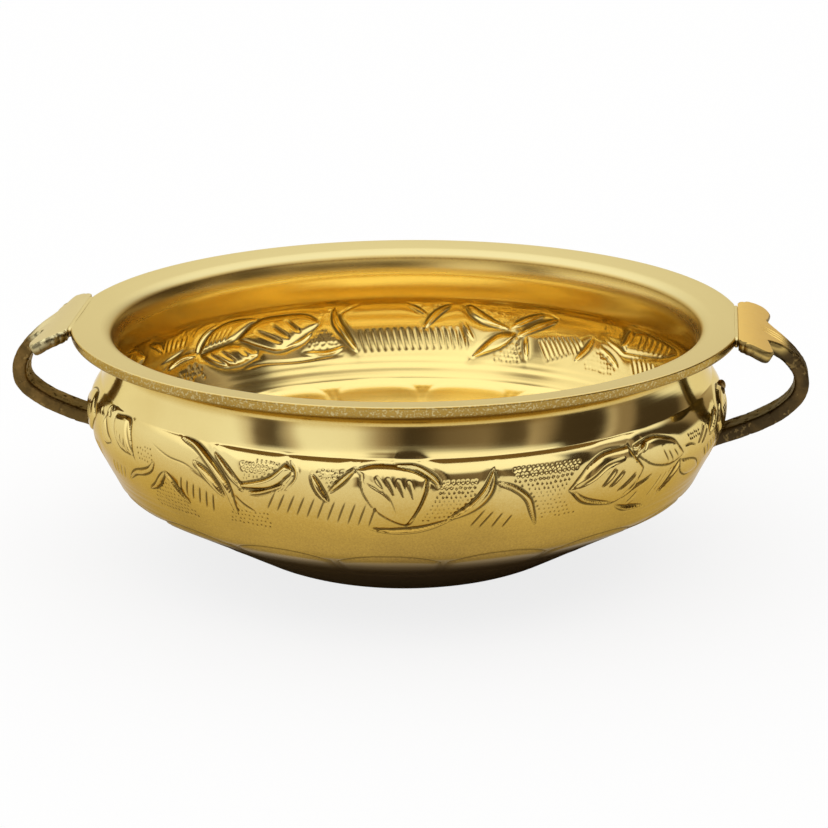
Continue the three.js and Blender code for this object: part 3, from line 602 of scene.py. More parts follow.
def makeBowl(material):
    # the closed section is turned round the axis, and each point of the wall moves along the wall's own
    # outward direction by the height of the chasing; the inner face repeats it a wall's thickness inside
    half = bowl["sectors"] * bowl["columns"] // 2
    angles = np.arange(2 * half) / half * 180 - 90
    fine = outerWallLine()
    outer = resample(fine, wallSpacing)
    relief = wallRelief(outer, fine, angles)
    inner, innerNormals, innerRelief = innerWall(outer, fine, relief)
    rim = rimLine()
    base = np.linspace((0, 0), (bowl["footRadius"], 0), 14)[:-1]
    floor = np.linspace((bowl["footRadius"], bowl["floorThickness"]), (0, bowl["floorThickness"]), 14)
    section = np.vstack([base, outer, rim, inner[1:], floor])
    outside = slice(len(base), len(base) + len(outer))
    overRim = slice(outside.stop, outside.stop + len(rim))
    inside = slice(overRim.stop, overRim.stop + len(inner) - 1)
    push, heights = np.zeros((len(section), 2)), np.zeros((len(section), 2 * half))
    push[outside], heights[outside] = rightOf(outer), relief
    push[inside], heights[inside] = innerNormals[1:], innerRelief[1:]

    # the rim's rows: 0 to 21 lie under the flare, to 34 round the thick edge, to 42 on the flat top and to
    # 65 down the throat; the underside is painted dark as the shade under the flare, the edge brown, the top
    # satin down into the throat, and a dark line is painted where the satin ends, standing in for a dark
    # reflection inside the throat
    insideFace, lipFace, patina = np.zeros((3, len(section)))
    row = np.arange(len(rim))
    insideFace[overRim.stop:] = 1
    insideFace[overRim] = np.interp(row, [55, 62], [0, 1])
    lipFace[overRim] = np.interp(row, [31, 34, 51, 55], [0, 1, 1, 0])
    # brown and painted shade: the base is brown, and the outer wall gets darker towards the base as painted
    # shade for the shadowed floor it reflects
    patina[:len(base)] = 1
    patina[outside] = np.interp(bowl["height"] - outer[:, 1], polish["brownAndShadeDepths"], polish["brownAndShadeLevels"])
    patina[overRim] = np.interp(row, [0, 8, 20, 23, 31, 34, 51, 55, 62],
                                [0.3, 0.8, 0.95, 0.7, 0.55, 0, 0.2, 0.7, 0.3])

    radius = section[:, :1] + push[:, :1] * heights
    z = section[:, 1:] + push[:, 1:] * heights
    turn = np.radians(angles + band["turn"])
    points = np.stack([radius * np.sin(turn), -radius * np.cos(turn), z], axis=-1)
    for one in handles:  # the seats filed on the rim
        along = turned(1, 0, 0, one["turn"])[:2]
        past = np.maximum(points[..., :2] @ along - bowl["seatDistance"], 0)
        points[..., :2] -= past[..., None] * along

    across = np.roll(points, -1, 1) - np.roll(points, 1, 1)
    normal = np.cross(across, np.gradient(points, axis=0))
    normal /= np.maximum(np.linalg.norm(normal, axis=-1), 1e-9)[..., None]
    normal[0], normal[-1] = (0, 0, -1), (0, 0, 1)
    alongSection = dict(insideFace=insideFace, lipFace=lipFace, patina=patina)
    fields = {name: np.repeat(values[:, None], 2 * half, 1) for name, values in alongSection.items()}
    fields["cavity"] = heights - soften(heights, 10)

    faces = wedgeFaces(len(section), bowl["columns"] + 1)
    for sector in range(bowl["sectors"]):
        columns = (np.arange(bowl["columns"] + 1) + sector * bowl["columns"]) % (2 * half)

        def pick(grid):
            body = grid[1:-1][:, columns]
            return np.concatenate([grid[:1, 0], body.reshape(-1, *grid.shape[2:]), grid[-1:, 0]])

        piece = newPiece(f"bowl_wall_{sector + 1}", pick(points), faces, pick(normal),
                         {name: pick(grid) for name, grid in fields.items()})
        piece.data.materials.append(material)
        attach(piece, "root")
        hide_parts("bowl")
    print("bowl:", len(section), "rows by", 2 * half, "columns")


class Wire:
    # one socket of a node tree: arithmetic on it adds Math nodes, and node() adds any other node

    def __init__(self, tree, socket=None):
        self.tree, self.socket = tree, socket

    def node(self, kind, settings=None, values=None, output=0):
        made = self.tree.nodes.new(kind)
        for name, setting in (settings or {}).items():
            if name == "stops":
                ramp = made.color_ramp.elements
                ramp[0].position, ramp[1].position = setting[0][0], setting[-1][0]
                for place, _ in setting[1:-1]:
                    ramp.new(place)
                for element, (_, colour) in zip(ramp, setting):
                    element.color = (*colour, 1)
            else:
                setattr(made, name, setting)
        for name, value in (values or {}).items():
            if isinstance(value, Wire):
                self.tree.links.new(value.socket, made.inputs[name])
            else:
                made.inputs[name].default_value = value
        return Wire(self.tree, made.outputs[output] if len(made.outputs) else None)

    def outlets(self, *names):
        # more outputs of the node that this socket belongs to
        return [Wire(self.tree, self.socket.node.outputs[name]) for name in names]

    def maths(self, operation, *terms):
        return self.node("ShaderNodeMath", {"operation": operation}, dict(enumerate(terms)))

    def __add__(self, other):
        return self.maths("ADD", self, other)

    def __radd__(self, other):
        return self.maths("ADD", other, self)

    def __sub__(self, other):
        return self.maths("SUBTRACT", self, other)

    def __rsub__(self, other):
        return self.maths("SUBTRACT", other, self)

    def __mul__(self, other):
        return self.maths("MULTIPLY", self, other)

    def __rmul__(self, other):
        return self.maths("MULTIPLY", other, self)

    def __truediv__(self, other):
        return self.maths("DIVIDE", self, other)

    def __pow__(self, other):
        return self.maths("POWER", self, other)

    def ease(self, low, high):
        # 0 below low to 1 above high, with level ends
        settings = {"interpolation_type": "SMOOTHSTEP"}
        return self.node("ShaderNodeMapRange", settings, {0: self, 1: low, 2: high, 3: 0.0, 4: 1.0})

    def blend(self, first, second):
        # this value chooses between two colours
        first, second = (c if isinstance(c, Wire) else (*c, 1) for c in (first, second))
        settings = {"data_type": "RGBA", "clamp_factor": True}
        return self.node("ShaderNodeMix", settings, {0: self, 6: first, 7: second}, 2)

    def place(self, output="Object"):
        return self.node("ShaderNodeTexCoord", {}, {}, output)

    def split(self):
        return self.node("ShaderNodeSeparateXYZ", {}, {"Vector": self}).outlets("X", "Y", "Z")

    def field(self, name):
        return self.node("ShaderNodeAttribute", {"attribute_name": name}, {}, "Fac")

    def noise(self, vector, scale, detail=3.0, roughness=0.5):
        values = {"Vector": vector, "Scale": scale, "Detail": detail, "Roughness": roughness}
        return self.node("ShaderNodeTexNoise", {}, values, 0)


def newMaterial(name):
    material = bpy.data.materials.new(name)
    material.use_nodes = True
    material.node_tree.nodes.clear()
    return material, Wire(material.node_tree)


def finishMaterial(tree, colour, roughness, height, bumpDistance, metallic=1.0):
    # a metal surface; the bump's height is in the same lengths as bumpDistance
    bump = tree.node("ShaderNodeBump", {}, {"Strength": 1.0, "Distance": bumpDistance, "Height": height})
    surface = tree.node("ShaderNodeBsdfPrincipled", {}, {
        "Base Color": colour, "Roughness": roughness, "Metallic": metallic, "Normal": bump,
        "Specular Tint": (*polish["edgeTint"], 1), "Specular IOR Level": 0.0})
    tree.node("ShaderNodeOutputMaterial", {}, {"Surface": surface})


# the bowl's finish
polish = dict(
    patina=[(0.0, (0.90, 0.76, 0.34)), (0.45, (0.54, 0.34, 0.065)), (0.75, (0.22, 0.13, 0.035)),
            (1.0, (0.20, 0.125, 0.055))],  # from bare brass to dark brown; the dark end is partly the base's brown and partly painted shade
    brownAndShadeDepths=[11, 13, 24, 31, 38, 46, 57, 61, 66, 73, 82, 92],  # how brown the outside is at each depth, darker towards the base as painted shade
    brownAndShadeLevels=[0.3, 0.1, 0.08, 0.25, 0.38, 0.47, 0.55, 0.68, 0.82, 0.94, 1.0, 1.0],
    inside=(0.95, 0.745, 0.28), satin=(0.76, 0.66, 0.33), edgeTint=(0.8, 0.7, 0.5),
    tarnish=(0.12, 0.075, 0.02), fleck=(0.62, 0.50, 0.24),  # in the hollows, and on the rim's outer edge
    roughness=0.07, patinaRoughness=0.30, insideRoughness=0.19, satinRoughness=0.34,
    lathe=900.0, streaks=260.0, patches=22.0, specks=1400.0,  # the scales of its patterns
    bump=0.00002,
)


def polishedBrass():
    # lathe marks follow the radius and the height, so they run round the bowl; the patches are on its place
    material, tree = newMaterial("polished brass")
    place = tree.place()
    x, y, z = place.split()
    radius = (x * x + y * y) ** 0.5
    circles = tree.node("ShaderNodeCombineXYZ", {}, {"X": radius, "Y": z, "Z": 0.0})
    lathe = tree.noise(circles, polish["lathe"], 2.0)
    streak = tree.noise(circles, polish["streaks"], 2.0)
    patch = tree.noise(place, polish["patches"], 3.0)
    speck = tree.noise(place, polish["specks"], 2.0)
    inside, lip, cavity, patina = (tree.field(name) for name in ("insideFace", "lipFace", "cavity", "patina"))
    # painted shade: this darkens the wall towards the base, under the flare and in a line inside the throat,
    # as well as browning the base
    brown = patina + (patch - 0.5) * 0.3 + (speck - 0.5) * patina * 0.4
    colour = tree.node("ShaderNodeValToRGB", {"stops": polish["patina"]}, {"Fac": brown})
    colour = (inside * 0.85).blend(colour, polish["inside"])
    flecks = radius.ease(0.1260, 0.1266) * speck.ease(0.5, 0.66) * 0.8  # only on the rim's outer edge
    colour = flecks.blend(colour, polish["fleck"])
    colour = lip.blend(colour, polish["satin"])
    grime = (0 - cavity).ease(0.06, 0.28) * 0.82
    colour = grime.blend(colour, polish["tarnish"])
    metallic = 1 - patina.ease(0.6, 0.92) * z.ease(0.05, 0.03)  # the brown skin of the base is dull
    roughness = polish["roughness"] + patina * polish["patinaRoughness"]
    roughness = roughness + inside * (polish["insideRoughness"] - polish["roughness"])
    roughness = roughness + lip * (polish["satinRoughness"] - polish["roughness"])
    roughness = roughness + (patch - 0.5) * 0.10 + (streak - 0.5) * 0.10 + grime * 0.3
    height = lathe * 0.5 + streak + (speck - 0.5) * lip * 0.6
    finishMaterial(tree, colour, roughness, height, polish["bump"], metallic)
    return material


# the cast handles, with the driving sizes of their solids; reach is measured out from the straight edge
handle = dict(
    start=125.6, plateThickness=4.4, strapThickness=5.6, loopDepth=22.5, strapWidth=12.5,
    plateReach=14.5, plateDrop=5.5, plateHalfWidth=28.0, notchReach=11.5, notchHalfWidth=14.5,
    rootReach=21.5, grooveSpacing=3.4, grooveDepth=0.6, edgeRound=1.2, skin=0.15, pitting=0.3,
    plateRows=70, strapRows=150, wingColumns=62, strapColumns=40,  # how finely it is meshed
)
handles = [
    # each handle has its colours set for the light on it: the right one's dark skin and worn patches are
    # painted shade and its orange face a painted reflection, the left one's pale face and lighter skin
    # painted light
    dict(side="right", turn=-1.7, reach=25.8, footDepth=47.0, seam=0.03, seed=41, darkEdge=0.22,
         plateGoldAsLit=(0.92, 0.65, 0.20), skin=(0.06, 0.04, 0.017), wornAsLit=(0.13, 0.08, 0.028),
         clockwise=dict(spread=33.04, tipReach=13.34, tipAcross=26.6),
         anticlockwise=dict(spread=33.88, tipReach=13.05, tipAcross=28.0)),
    dict(side="left", turn=181.7, reach=24.8, footDepth=44.4, seam=-0.3, seed=59, darkEdge=0.4,
         plateGoldAsLit=(0.78, 0.69, 0.38), skin=(0.13, 0.08, 0.024), wornAsLit=(0.28, 0.165, 0.05),
         clockwise=dict(spread=31.64, tipReach=9.57, tipAcross=22.12),
         anticlockwise=dict(spread=36.4, tipReach=14.65, tipAcross=26.6)),
]


def handleTopLine(one):
    # the top face seen from its side: level at the rim, over the crest and in to the belly
    h, point = handle, profilePoint
    start, reach, depth = h["start"], one["reach"], one["footDepth"]
    furthest = bowl["rimRadius"] + reach
    plate = bendPoints(point(start, 0), point(start + h["plateReach"] * 0.38, 0),
                       point(start + h["plateReach"] * 0.7, h["plateDrop"] * 0.55),
                       point(start + h["plateReach"], h["plateDrop"]), 60)
    shoulder = bendPoints(plate[-1], point(start + h["plateReach"] * 1.4, h["plateDrop"] * 1.6),
                          point(furthest, h["loopDepth"] - reach * 0.32), point(furthest, h["loopDepth"]), 60)
    lowerArm = bendPoints(shoulder[-1], point(furthest, h["loopDepth"] + reach * 0.5),
                          point(bowl["bellyRadius"] + reach * 0.5, depth - reach * 0.17),
                          point(bowl["bellyRadius"] - 4, depth + 1.5), 90)  # ends inside the wall
    line = fineLine(np.vstack([plate, shoulder[1:], lowerArm[1:]]))
    return line, -rightOf(line)  # the top face looks to the left of travel


def quadratic(start, control, end, steps):
    # the three points weighted by (1 - t)^2, 2 t (1 - t) and t^2
    t = np.linspace(0, 1, steps + 1)[:, None]
    return (1 - t) ** 2 * np.array(start) + 2 * t * (1 - t) * np.array(control) + t**2 * np.array(end)


def lobeOutline(lobe):
    # the leaf's scalloped edge from the rim to the lobe's tip, and the notch from the tip to the strap
    h = handle
    spread, tip = lobe["spread"], lobe["tipReach"]
    half = h["plateHalfWidth"]
    knots = [(0, half), (h["plateReach"] * 0.16, half + (spread - half) * 0.5),
             (h["plateReach"] * 0.36, half + (spread - half) * 0.86), (tip * 0.68, spread)]
    controls = [(0, knots[1][1]), (knots[1][0] + 0.4, knots[2][1]), (knots[2][0] + 1.2, knots[3][1])]
    edge = [quadratic(a, c, b, 20) for a, c, b in zip(knots[:-1], controls, knots[1:])]
    edge.append(quadratic(knots[-1], (tip - 1, spread), (tip, lobe["tipAcross"]), 20))
    notch = quadratic((tip, lobe["tipAcross"]), (h["notchReach"] + 1, h["notchHalfWidth"] * 1.3),
                      (h["notchReach"], h["notchHalfWidth"]), 24)
    root = quadratic((h["notchReach"], h["notchHalfWidth"]), (h["notchReach"] + 4, h["strapWidth"] * 0.67),
                     (h["rootReach"], h["strapWidth"] / 2), 24)
    return np.vstack([edge[0]] + [part[1:] for part in edge[1:]]), np.vstack([notch, root[1:]])


def evenly(line, shares):
    # points at the given shares of a line's length
    length = distanceAlong(line)
    return np.stack([np.interp(shares * length[-1], length, line[:, k]) for k in range(2)], axis=1)


def wing(lobe, rowShares, columnShares):
    # the patch between strap edge, scalloped edge, rim edge and notch: the two surfaces of straight lines
    # between opposite edges are added, less the one blended from the four corners; returns reach and across,
    # rows by columns
    edge, notch = lobeOutline(lobe)
    half = handle["strapWidth"] / 2
    strapEdge = np.stack([rowShares * handle["rootReach"], np.full(len(rowShares), half)], 1)
    outside = evenly(edge, rowShares)
    rimEdge = np.stack([np.zeros(len(columnShares)), half + columnShares * (edge[0, 1] - half)], 1)
    notchEdge = evenly(notch[::-1], columnShares)
    a, b = columnShares[None, :, None], rowShares[:, None, None]
    ruled = ((1 - a) * strapEdge[:, None] + a * outside[:, None]
             + (1 - b) * rimEdge[None] + b * notchEdge[None])
    corners = ((1 - a) * (1 - b) * strapEdge[0] + a * (1 - b) * outside[0]
               + (1 - a) * b * strapEdge[-1] + a * b * outside[-1])
    return ruled - corners


def crowded(count):
    # shares from 0 to 1 that lie closer at both ends: 0.6 of (1 - cos(pi t)) / 2 mixed with 0.4 of t
    t = np.linspace(0, 1, count + 1)
    return 0.6 * (1 - np.cos(np.pi * t)) / 2 + 0.4 * t


def castSkin(seed, along, across):
    # octaves of lattice noise, each 0.45 times as wide and 0.55 times as high as the last, and turned a
    # little so that their cells don't line up
    total = 0
    for octave in range(4):
        turn, width = 0.6 + 1.1 * octave, 6.5 * 0.45**octave
        u = (along * math.cos(turn) - across * math.sin(turn)) / width
        v = (along * math.sin(turn) + across * math.cos(turn)) / width
        total = total + 0.55**octave * latticeNoise(seed + octave, u, v)
    return handle["skin"] * total


def sheetLoop(rows):
    # the outline of the leaf and strap as row and column numbers, once round: out along the rim, round one
    # wing, down the strap and back up, round the other wing
    a, c, d = handle["wingColumns"], handle["plateRows"], rows - 1
    b, wide = a + handle["strapColumns"], 2 * a + handle["strapColumns"] + 1
    return np.array([(0, j) for j in range(wide)] + [(i, wide - 1) for i in range(1, c + 1)]
                    + [(c, j) for j in range(wide - 2, b - 1, -1)] + [(i, b) for i in range(c + 1, d + 1)]
                    + [(d, j) for j in range(b - 1, a - 1, -1)] + [(i, a) for i in range(d - 1, c - 1, -1)]
                    + [(c, j) for j in range(a - 1, -1, -1)] + [(i, 0) for i in range(c - 1, 0, -1)])


def makeHandle(one, material):
    # the sheet of the leaf and strap, reach by across, is bent along the top line, given its thickness
    # with rounded edges, and closed round its outline
    h = handle
    plateRows, wingColumns, strapColumns = h["plateRows"], h["wingColumns"], h["strapColumns"]
    line, facing = handleTopLine(one)
    reach, length = line[:, 0] - h["start"], distanceAlong(line)
    root = int(np.argmax(reach >= h["rootReach"]))
    rowShares, columnShares = crowded(plateRows), crowded(wingColumns)
    strapAcross = (crowded(strapColumns) * 2 - 1) * h["strapWidth"] / 2
    rowLength = np.concatenate([np.interp(rowShares * h["rootReach"], reach[:root + 1], length[:root + 1]),
                                np.linspace(length[root], length[-1], h["strapRows"] + 1)[1:]])
    rows, wide = len(rowLength), 2 * wingColumns + strapColumns + 1

    sheet = np.full((rows, wide, 2), np.nan)
    sheet[:, wingColumns:wingColumns + strapColumns + 1] = np.stack(
        np.meshgrid(np.interp(rowLength, length, reach), strapAcross, indexing="ij"), -1)
    first, second = (wing(one[side], rowShares, columnShares) for side in ("clockwise", "anticlockwise"))
    sheet[:plateRows + 1, :wingColumns] = first[:, :0:-1] * [1, -1]
    sheet[:plateRows + 1, -wingColumns:] = second[:, 1:]
    there = ~np.isnan(sheet[..., 0])

    # how far along the top line each point is: by its reach on the leaf, where the line is read 4 mm past
    # the root, and by its row on the strap
    along = np.interp(sheet[..., 0], reach[:root + 40], length[:root + 40])
    along[plateRows + 1:] = rowLength[plateRows + 1:, None]
    along, across = np.nan_to_num(along), np.nan_to_num(sheet[..., 1])
    x, z, nx, nz = (np.interp(along, length, values) for values in (*line.T, *facing.T))
    depth = bowl["height"] - z
    share = smoothStep(-h["plateDrop"], h["plateDrop"], h["plateDrop"] - depth)
    thickness = h["strapThickness"] + (h["plateThickness"] - h["strapThickness"]) * share

    # the distance to the outline rounds the edges, but the straight edge on the rim stays sharp
    loop = sheetLoop(rows)
    flat = np.stack([along, across], -1)
    edgePoints = flat[loop[:, 0], loop[:, 1]][loop[:, 0] > 0]
    gap = np.concatenate([np.sqrt(((flat[start:start + 20, :, None] - edgePoints) ** 2).sum(-1).min(-1))
                          for start in range(0, rows, 20)])  # 20 rows at a time, to spare the memory
    inset = np.clip(1 - gap / h["edgeRound"], 0, 1)
    drop = h["edgeRound"] * (1 - np.sqrt(1 - inset**2))

    # casting skin: swells and grain in four sizes, and scattered pits, nearly all filed off the leaf's face;
    # three grooves run over the strap
    rough = castSkin(one["seed"], along, across)
    pits = h["pitting"] * smoothStep(0.62, 0.9, castSkin(one["seed"] + 8, 3 * along, 3 * across) / h["skin"])
    crest = np.interp(depth, [1.5, 6, 20, 34], [0, 1, 1, 0]) * (depth < 34)
    grooves = sum(np.exp(-((across - k * h["grooveSpacing"]) / 0.55) ** 2) for k in (-1, 0, 1))
    onLeaf = smoothStep(9.5, 5.8, depth)
    filed = 1 - 0.95 * onLeaf
    upper = -drop - h["grooveDepth"] * crest * grooves * 1.2 + (rough - pits - 0.15) * filed
    under = drop - thickness + rough + pits

    def placed(height):
        # from 14 mm down, the foot stops 0.7 mm under the skin of the belly
        px, pz = x + nx * height, z + nz * height
        wanted = wallRadiusAt(pz) - 0.7
        buried = (np.hypot(px, across) < wanted) & (pz < bowl["height"] - 14)
        px = np.where(buried, np.sqrt(np.maximum(wanted**2 - across**2, 1)), px)
        return turned(px, across, pz, one["turn"])

    # the top and the underside are the same grid, one facing up and one down, joined by a wall round the
    # outline
    points = np.concatenate([placed(upper)[there], placed(under)[there]])
    number = np.cumsum(there.ravel()).reshape(there.shape) - 1
    count = int(there.sum())
    cell = there[:-1, :-1] & there[1:, :-1] & there[:-1, 1:] & there[1:, 1:]
    corners = np.stack([number[:-1, :-1], number[1:, :-1], number[1:, 1:], number[:-1, 1:]], -1)[cell]
    rim = number[loop[:, 0], loop[:, 1]]
    following = np.roll(rim, -1)
    walls = np.stack([rim, following, following + count, rim + count], -1)
    faces = np.concatenate([corners, (corners + count)[:, ::-1], walls])
    edges = smoothStep(1.5, 0.5, gap)
    hollow = (0.7 * crest * grooves + 2 * pits) * filed
    fields = dict(edge=np.concatenate([edges[there]] * 2),
                  leaf=np.concatenate([onLeaf[there], 0 * onLeaf[there]]),
                  hollow=np.concatenate([hollow[there], (pits * 2)[there]]))
    piece = newPiece(f"{one['side']}_handle_casting", points, faces.tolist(), None, fields)
    turnOutwards(piece)
    piece.data.materials.append(material)
    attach(piece, "root")
    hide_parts(f"{one['side']}_handle")
    print(one["side"], "handle:", len(points), "points")


# brazing metal: a bead along the straight edge of each leaf and one round the foot of each strap
braze = dict(
    rimHalf=25.6, rimLow=124.0, rimDeep=4.1, rimSink=0.02, rimWander=0.16,
    beadRadius=1.25, beadSpread=1.35, beadNoise=0.3,
    dull=(0.10, 0.062, 0.02), bright=(0.50, 0.32, 0.11), patches=420.0, bump=0.0002,
)


def roundedRectangle(steps, power):
    # cosine and sine of the turn, each raised to a power below 1 with its sign kept, from -1 to 1
    p = np.linspace(0, 2 * np.pi, steps + 1)[:-1]
    return p, *(np.sign(f(p)) * np.abs(f(p)) ** power for f in (np.cos, np.sin))


def newBead(name, points, joined, material):
    # quads over a grid of sections; the sections are joined into a ring, or else both ends are capped
    rows, columns = points.shape[:2]
    index = np.arange(rows * columns).reshape(rows, columns)
    ahead, beside = np.roll(index, -1, 0), np.roll(index, -1, 1)
    quads = np.stack([index, ahead, np.roll(ahead, -1, 1), beside], -1)
    faces = quads[:rows if joined else -1].reshape(-1, 4).tolist()
    if not joined:
        faces += [index[0].tolist(), index[-1, ::-1].tolist()]
    piece = newPiece(name, points.reshape(-1, 3), faces)
    turnOutwards(piece)
    piece.data.materials.append(material)
    return piece


def makeRimBraze(one, material):
    # a bar whose section is a rounded rectangle, carried across the seat; its skin wanders a little
    half, low = braze["rimHalf"], braze["rimLow"]
    y = np.linspace(-half, half, 160)[:, None]
    p, cosine, sine = roundedRectangle(28, 0.35)
    taper = np.sqrt(np.clip(1 - (np.abs(y) / half) ** 24, 0.02, 1))
    wander = braze["rimWander"] * latticeNoise(one["seed"] + 7, y / 2.2 + 0 * p, p * 1.3 + 0 * y)
    high = handle["start"] - one["seam"]  # a seam above zero leaves a thin gap before the leaf
    halfDeep = braze["rimDeep"] / 2
    x = (low + high) / 2 + (high - low) / 2 * cosine * taper
    z = bowl["height"] - braze["rimSink"] - halfDeep + (halfDeep * sine + wander * (sine < 0)) * taper
    points = turned(x, y + 0 * x, z, one["turn"])
    piece = newBead(f"{one['side']}_rim_bead", points, False, material)
    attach(piece, "root")
    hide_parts(f"{one['side']}_rim_braze")


def makeBellyBraze(one, material):
    # the strap's section, a rounded rectangle, is followed down the top line to the belly: each of its
    # points gives the place where that line of the strap meets the wall; the bead joins those places with
    # a round section, centre + r (spread cos(p) sideways + sin(p) out)
    line, facing = handleTopLine(one)
    _, cosine, sine = roundedRectangle(120, 0.45)
    across = handle["strapWidth"] / 2 * cosine
    height = handle["strapThickness"] / 2 * (sine - 1)
    x = line[:, :1] + facing[:, :1] * height
    z = line[:, 1:] + facing[:, 1:] * height
    outside = np.hypot(x, across[None]) > wallRadiusAt(z)
    start = len(line) // 2
    hit = start + np.argmax(~outside[start:], axis=0)
    columns = np.arange(len(across))
    hz = z[hit, columns]
    hx = np.sqrt(np.maximum(wallRadiusAt(hz) ** 2 - across**2, 1))
    centres = np.stack([hx, across, hz], 1)
    around = np.roll(centres, -1, 0) - np.roll(centres, 1, 0)
    around /= np.linalg.norm(around, axis=1)[:, None]
    out = np.stack([hx, across, 0 * hx], 1)
    out /= np.linalg.norm(out, axis=1)[:, None]
    sideways = np.cross(around, out)
    sideways /= np.linalg.norm(sideways, axis=1)[:, None]
    radii = braze["beadRadius"] * (1 + braze["beadNoise"] * latticeNoise(one["seed"] + 9, columns / 7.5))
    p = np.linspace(0, 2 * np.pi, 17)[:-1][None, :, None]
    ring = braze["beadSpread"] * np.cos(p) * sideways[:, None] + np.sin(p) * out[:, None]
    grid = centres[:, None] + radii[:, None, None] * ring
    points = turned(grid[..., 0], grid[..., 1], grid[..., 2], one["turn"])
    cadNode = f"{one['side']}_belly_braze"
    piece = newBead(f"{one['side']}_belly_bead", points, True, material)
    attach(piece, "root")
    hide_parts(cadNode)


# the finish of the castings
casting = dict(
    dark=(0.045, 0.028, 0.012), bright=(0.50, 0.34, 0.12), roughness=0.44, plateRoughness=0.34,
    patches=90.0, grain=420.0, chips=340.0,  # the scales of its patterns
    bump=0.00012,
)


def castBrass(one):
    # dark rough skin with worn patches, dark hollows, and a filed leaf face with dark edges; the skin, patch
    # and face colours come from each handle and hold painted light and shade
    material, tree = newMaterial(f"{one['side']} casting")
    place = tree.place()
    edge, leaf, hollow = (tree.field(name) for name in ("edge", "leaf", "hollow"))
    patch = tree.noise(place, casting["patches"], 4.0, 0.6)
    fine = tree.noise(place, casting["grain"], 4.0, 0.62)
    chips = tree.noise(place, casting["chips"], 3.0, 0.6)
    # painted light and shade: skin and worn colours differ between the handles for the light on each
    colour = patch.ease(0.42, 0.72).blend(one["skin"], one["wornAsLit"])
    shade = (0.6 - fine).ease(0.06, 0.3) * 0.4
    colour = shade.blend(colour, casting["dark"])
    bare = edge * (1 - leaf) * chips.ease(0.58, 0.68) * 0.3
    colour = bare.blend(colour, casting["bright"])
    # painted reflection: each handle's leaf face has its own gold for what it reflects
    colour = leaf.blend(colour, one["plateGoldAsLit"])
    edgeShade = chips.ease(one["darkEdge"], one["darkEdge"] + 0.2)  # the lower, the more of the edge is dark, as painted shade; the right handle's is lower
    # painted shade: the sides of the leaf plate are darkened in patches
    colour = ((edge * leaf).ease(0.5, 0.95) * edgeShade * 0.8).blend(colour, casting["dark"])
    colour = (hollow * 0.9).blend(colour, casting["dark"])
    roughness = casting["roughness"] + leaf * (casting["plateRoughness"] - casting["roughness"])
    roughness = roughness + (fine - 0.5) * 0.2 - bare * 0.15
    height = (fine + patch * 0.6) * (1 - leaf * 0.9)
    finishMaterial(tree, colour, roughness, height, casting["bump"])
    return material


def brazeMetal():
    # dull patches, and satin like the lip where it is filed level with the rim
    material, tree = newMaterial("braze metal")
    place = tree.place()
    patch = tree.noise(place, braze["patches"], 4.0, 0.6)
    colour = patch.ease(0.4, 0.62).blend(braze["dull"], braze["bright"])
    top = place.split()[2].ease(0.0908, 0.0914)  # metres above the base
    colour = top.blend(colour, polish["satin"])
    finishMaterial(tree, colour, 0.3 + patch * 0.2, patch * (1 - top), braze["bump"])
    return material


# the camera, as the photograph was taken; it looks from the front of the band, so it turns with it
view = dict(distance=1000.0, elevation=16.6, roll=0.38, turn=4.8, target=(2.7, 0.0, 52.0),
            lens=112.8, sensor=36.0)


def makeCamera():
    camera = bpy.data.objects.new("camera", bpy.data.cameras.new("camera"))
    bpy.context.scene.collection.objects.link(camera)
    camera.data.lens, camera.data.sensor_width = view["lens"], view["sensor"]
    camera.data.clip_start, camera.data.clip_end = 0.01, 100.0
    lift = math.radians(view["elevation"])
    aim = Vector(turned(*view["target"], view["turn"]))
    forward = Vector(turned(0, math.cos(lift), -math.sin(lift), view["turn"]))
    camera.location = (aim - view["distance"] * forward) * metre
    camera.rotation_euler = forward.to_track_quat("-Z", "Y").to_euler()
    camera.rotation_euler.rotate_axis("Z", -math.radians(view["roll"]))
    bpy.context.scene.camera = camera


# the studio: bright all round near the floor, a soft ceiling, and warm grey flags on the camera's side
studio = dict(
    low=1.0, ceiling=1.25, turn=4.8,
    warmth=(0.0, 0.3, 0.55),  # the darker a flag, the more green and blue it lacks
    horizon=(0.01, 0.08), ceilingFrom=(0.46, 0.60),  # heights over which one light turns into the next
    tallFlag=0.2,  # how much higher the flags on the right reach
    tallFrom=(60, 72), tallTo=(96, 80),  # the degrees over which they rise, and over which they fall again
    floor=0.17, glow=0.82, floorHalf=20000.0,
    # how bright each direction is: degrees round to the right of the camera, level
    sides=[(-180, 0.95), (-68, 1.0), (-62, 0.7), (-58, 0.16), (-50, 0.08), (-44, 0.6), (-40, 1.0),
           (-20, 0.95), (-10, 0.38), (-5, 0.2), (0, 0.05), (7, 0.08), (14, 0.17), (30, 0.24),
           (37, 0.10), (45, 0.12), (49, 0.45), (55, 0.3), (60, 0.06), (78, 0.05), (82, 0.6),
           (86, 0.3), (92, 0.3), (96, 0.06), (118, 0.06), (124, 0.3), (142, 0.4), (160, 0.8), (180, 0.95)],
)


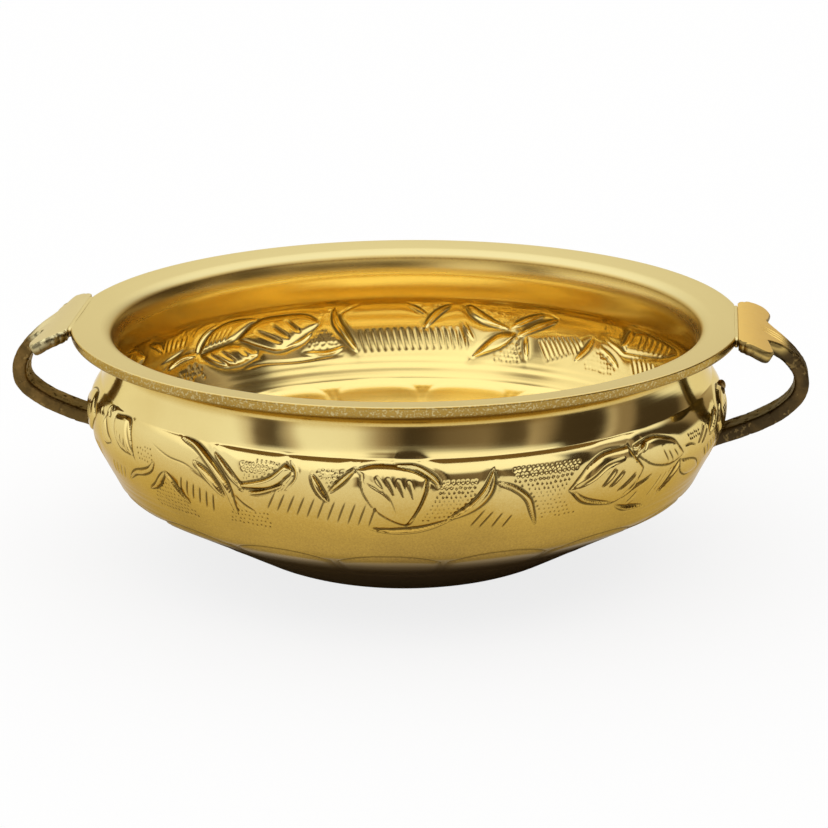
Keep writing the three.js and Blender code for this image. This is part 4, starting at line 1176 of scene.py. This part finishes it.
def makeWorld():
    # low all round near the horizon, the sides above it and the ceiling on top, blended by height
    world = bpy.data.worlds.new("studio")
    bpy.context.scene.world = world
    world.use_nodes = True
    world.node_tree.nodes.clear()
    tree = Wire(world.node_tree)
    x, y, z = tree.place("Generated").split()
    turn = math.radians(studio["turn"])
    aside = x * math.cos(turn) + y * math.sin(turn)
    front = x * math.sin(turn) - y * math.cos(turn)
    degrees = tree.maths("ARCTAN2", aside, front) * (180 / math.pi)
    warm = np.array(studio["warmth"])
    stops = [((angle + 180) / 360, level * (1 - warm * (1 - level))) for angle, level in studio["sides"]]
    sides = tree.node("ShaderNodeValToRGB", {"stops": stops}, {"Fac": (degrees + 180) / 360})
    light = z.ease(*studio["horizon"]).blend((studio["low"],) * 3, sides)
    tall = degrees.ease(*studio["tallFrom"]) * degrees.ease(*studio["tallTo"])
    above = (z - tall * studio["tallFlag"]).ease(*studio["ceilingFrom"])
    light = above.blend(light, (studio["ceiling"],) * 3)
    background = tree.node("ShaderNodeBackground", {}, {"Color": light, "Strength": 1.0})
    tree.node("ShaderNodeOutputWorld", {}, {"Surface": background})


def makeFloor():
    # a pale floor that keeps the shadow, and glows white only where it is seen, also in the metal
    half = studio["floorHalf"]
    corners = np.array([(-half, -half, 0), (half, -half, 0), (half, half, 0), (-half, half, 0)])
    floor = newPiece("floor", corners, [[0, 1, 2, 3]])
    material, tree = newMaterial("white floor")
    rays = ("Is Camera Ray", "Is Glossy Ray", "Is Transmission Ray")
    camera, glossy, through = tree.node("ShaderNodeLightPath").outlets(*rays)
    seen = tree.maths("MINIMUM", camera + glossy + through, 1.0)
    matt = tree.node("ShaderNodeBsdfDiffuse", {}, {"Color": (*[studio["floor"]] * 3, 1)})
    glow = tree.node("ShaderNodeEmission", {}, {"Color": (1, 1, 1, 1), "Strength": seen * studio["glow"]})
    both = tree.node("ShaderNodeAddShader", {}, {0: matt, 1: glow})
    tree.node("ShaderNodeOutputMaterial", {}, {"Surface": both})
    floor.data.materials.append(material)


makeCamera()
makeWorld()
makeFloor()
bpy.context.scene.view_settings.view_transform = "Standard"
print("camera and studio made")
makeBowl(polishedBrass())
beads = brazeMetal()
for one in handles:
    makeHandle(one, castBrass(one))
    makeRimBraze(one, beads)
    makeBellyBraze(one, beads)
print("handles and brazing made")
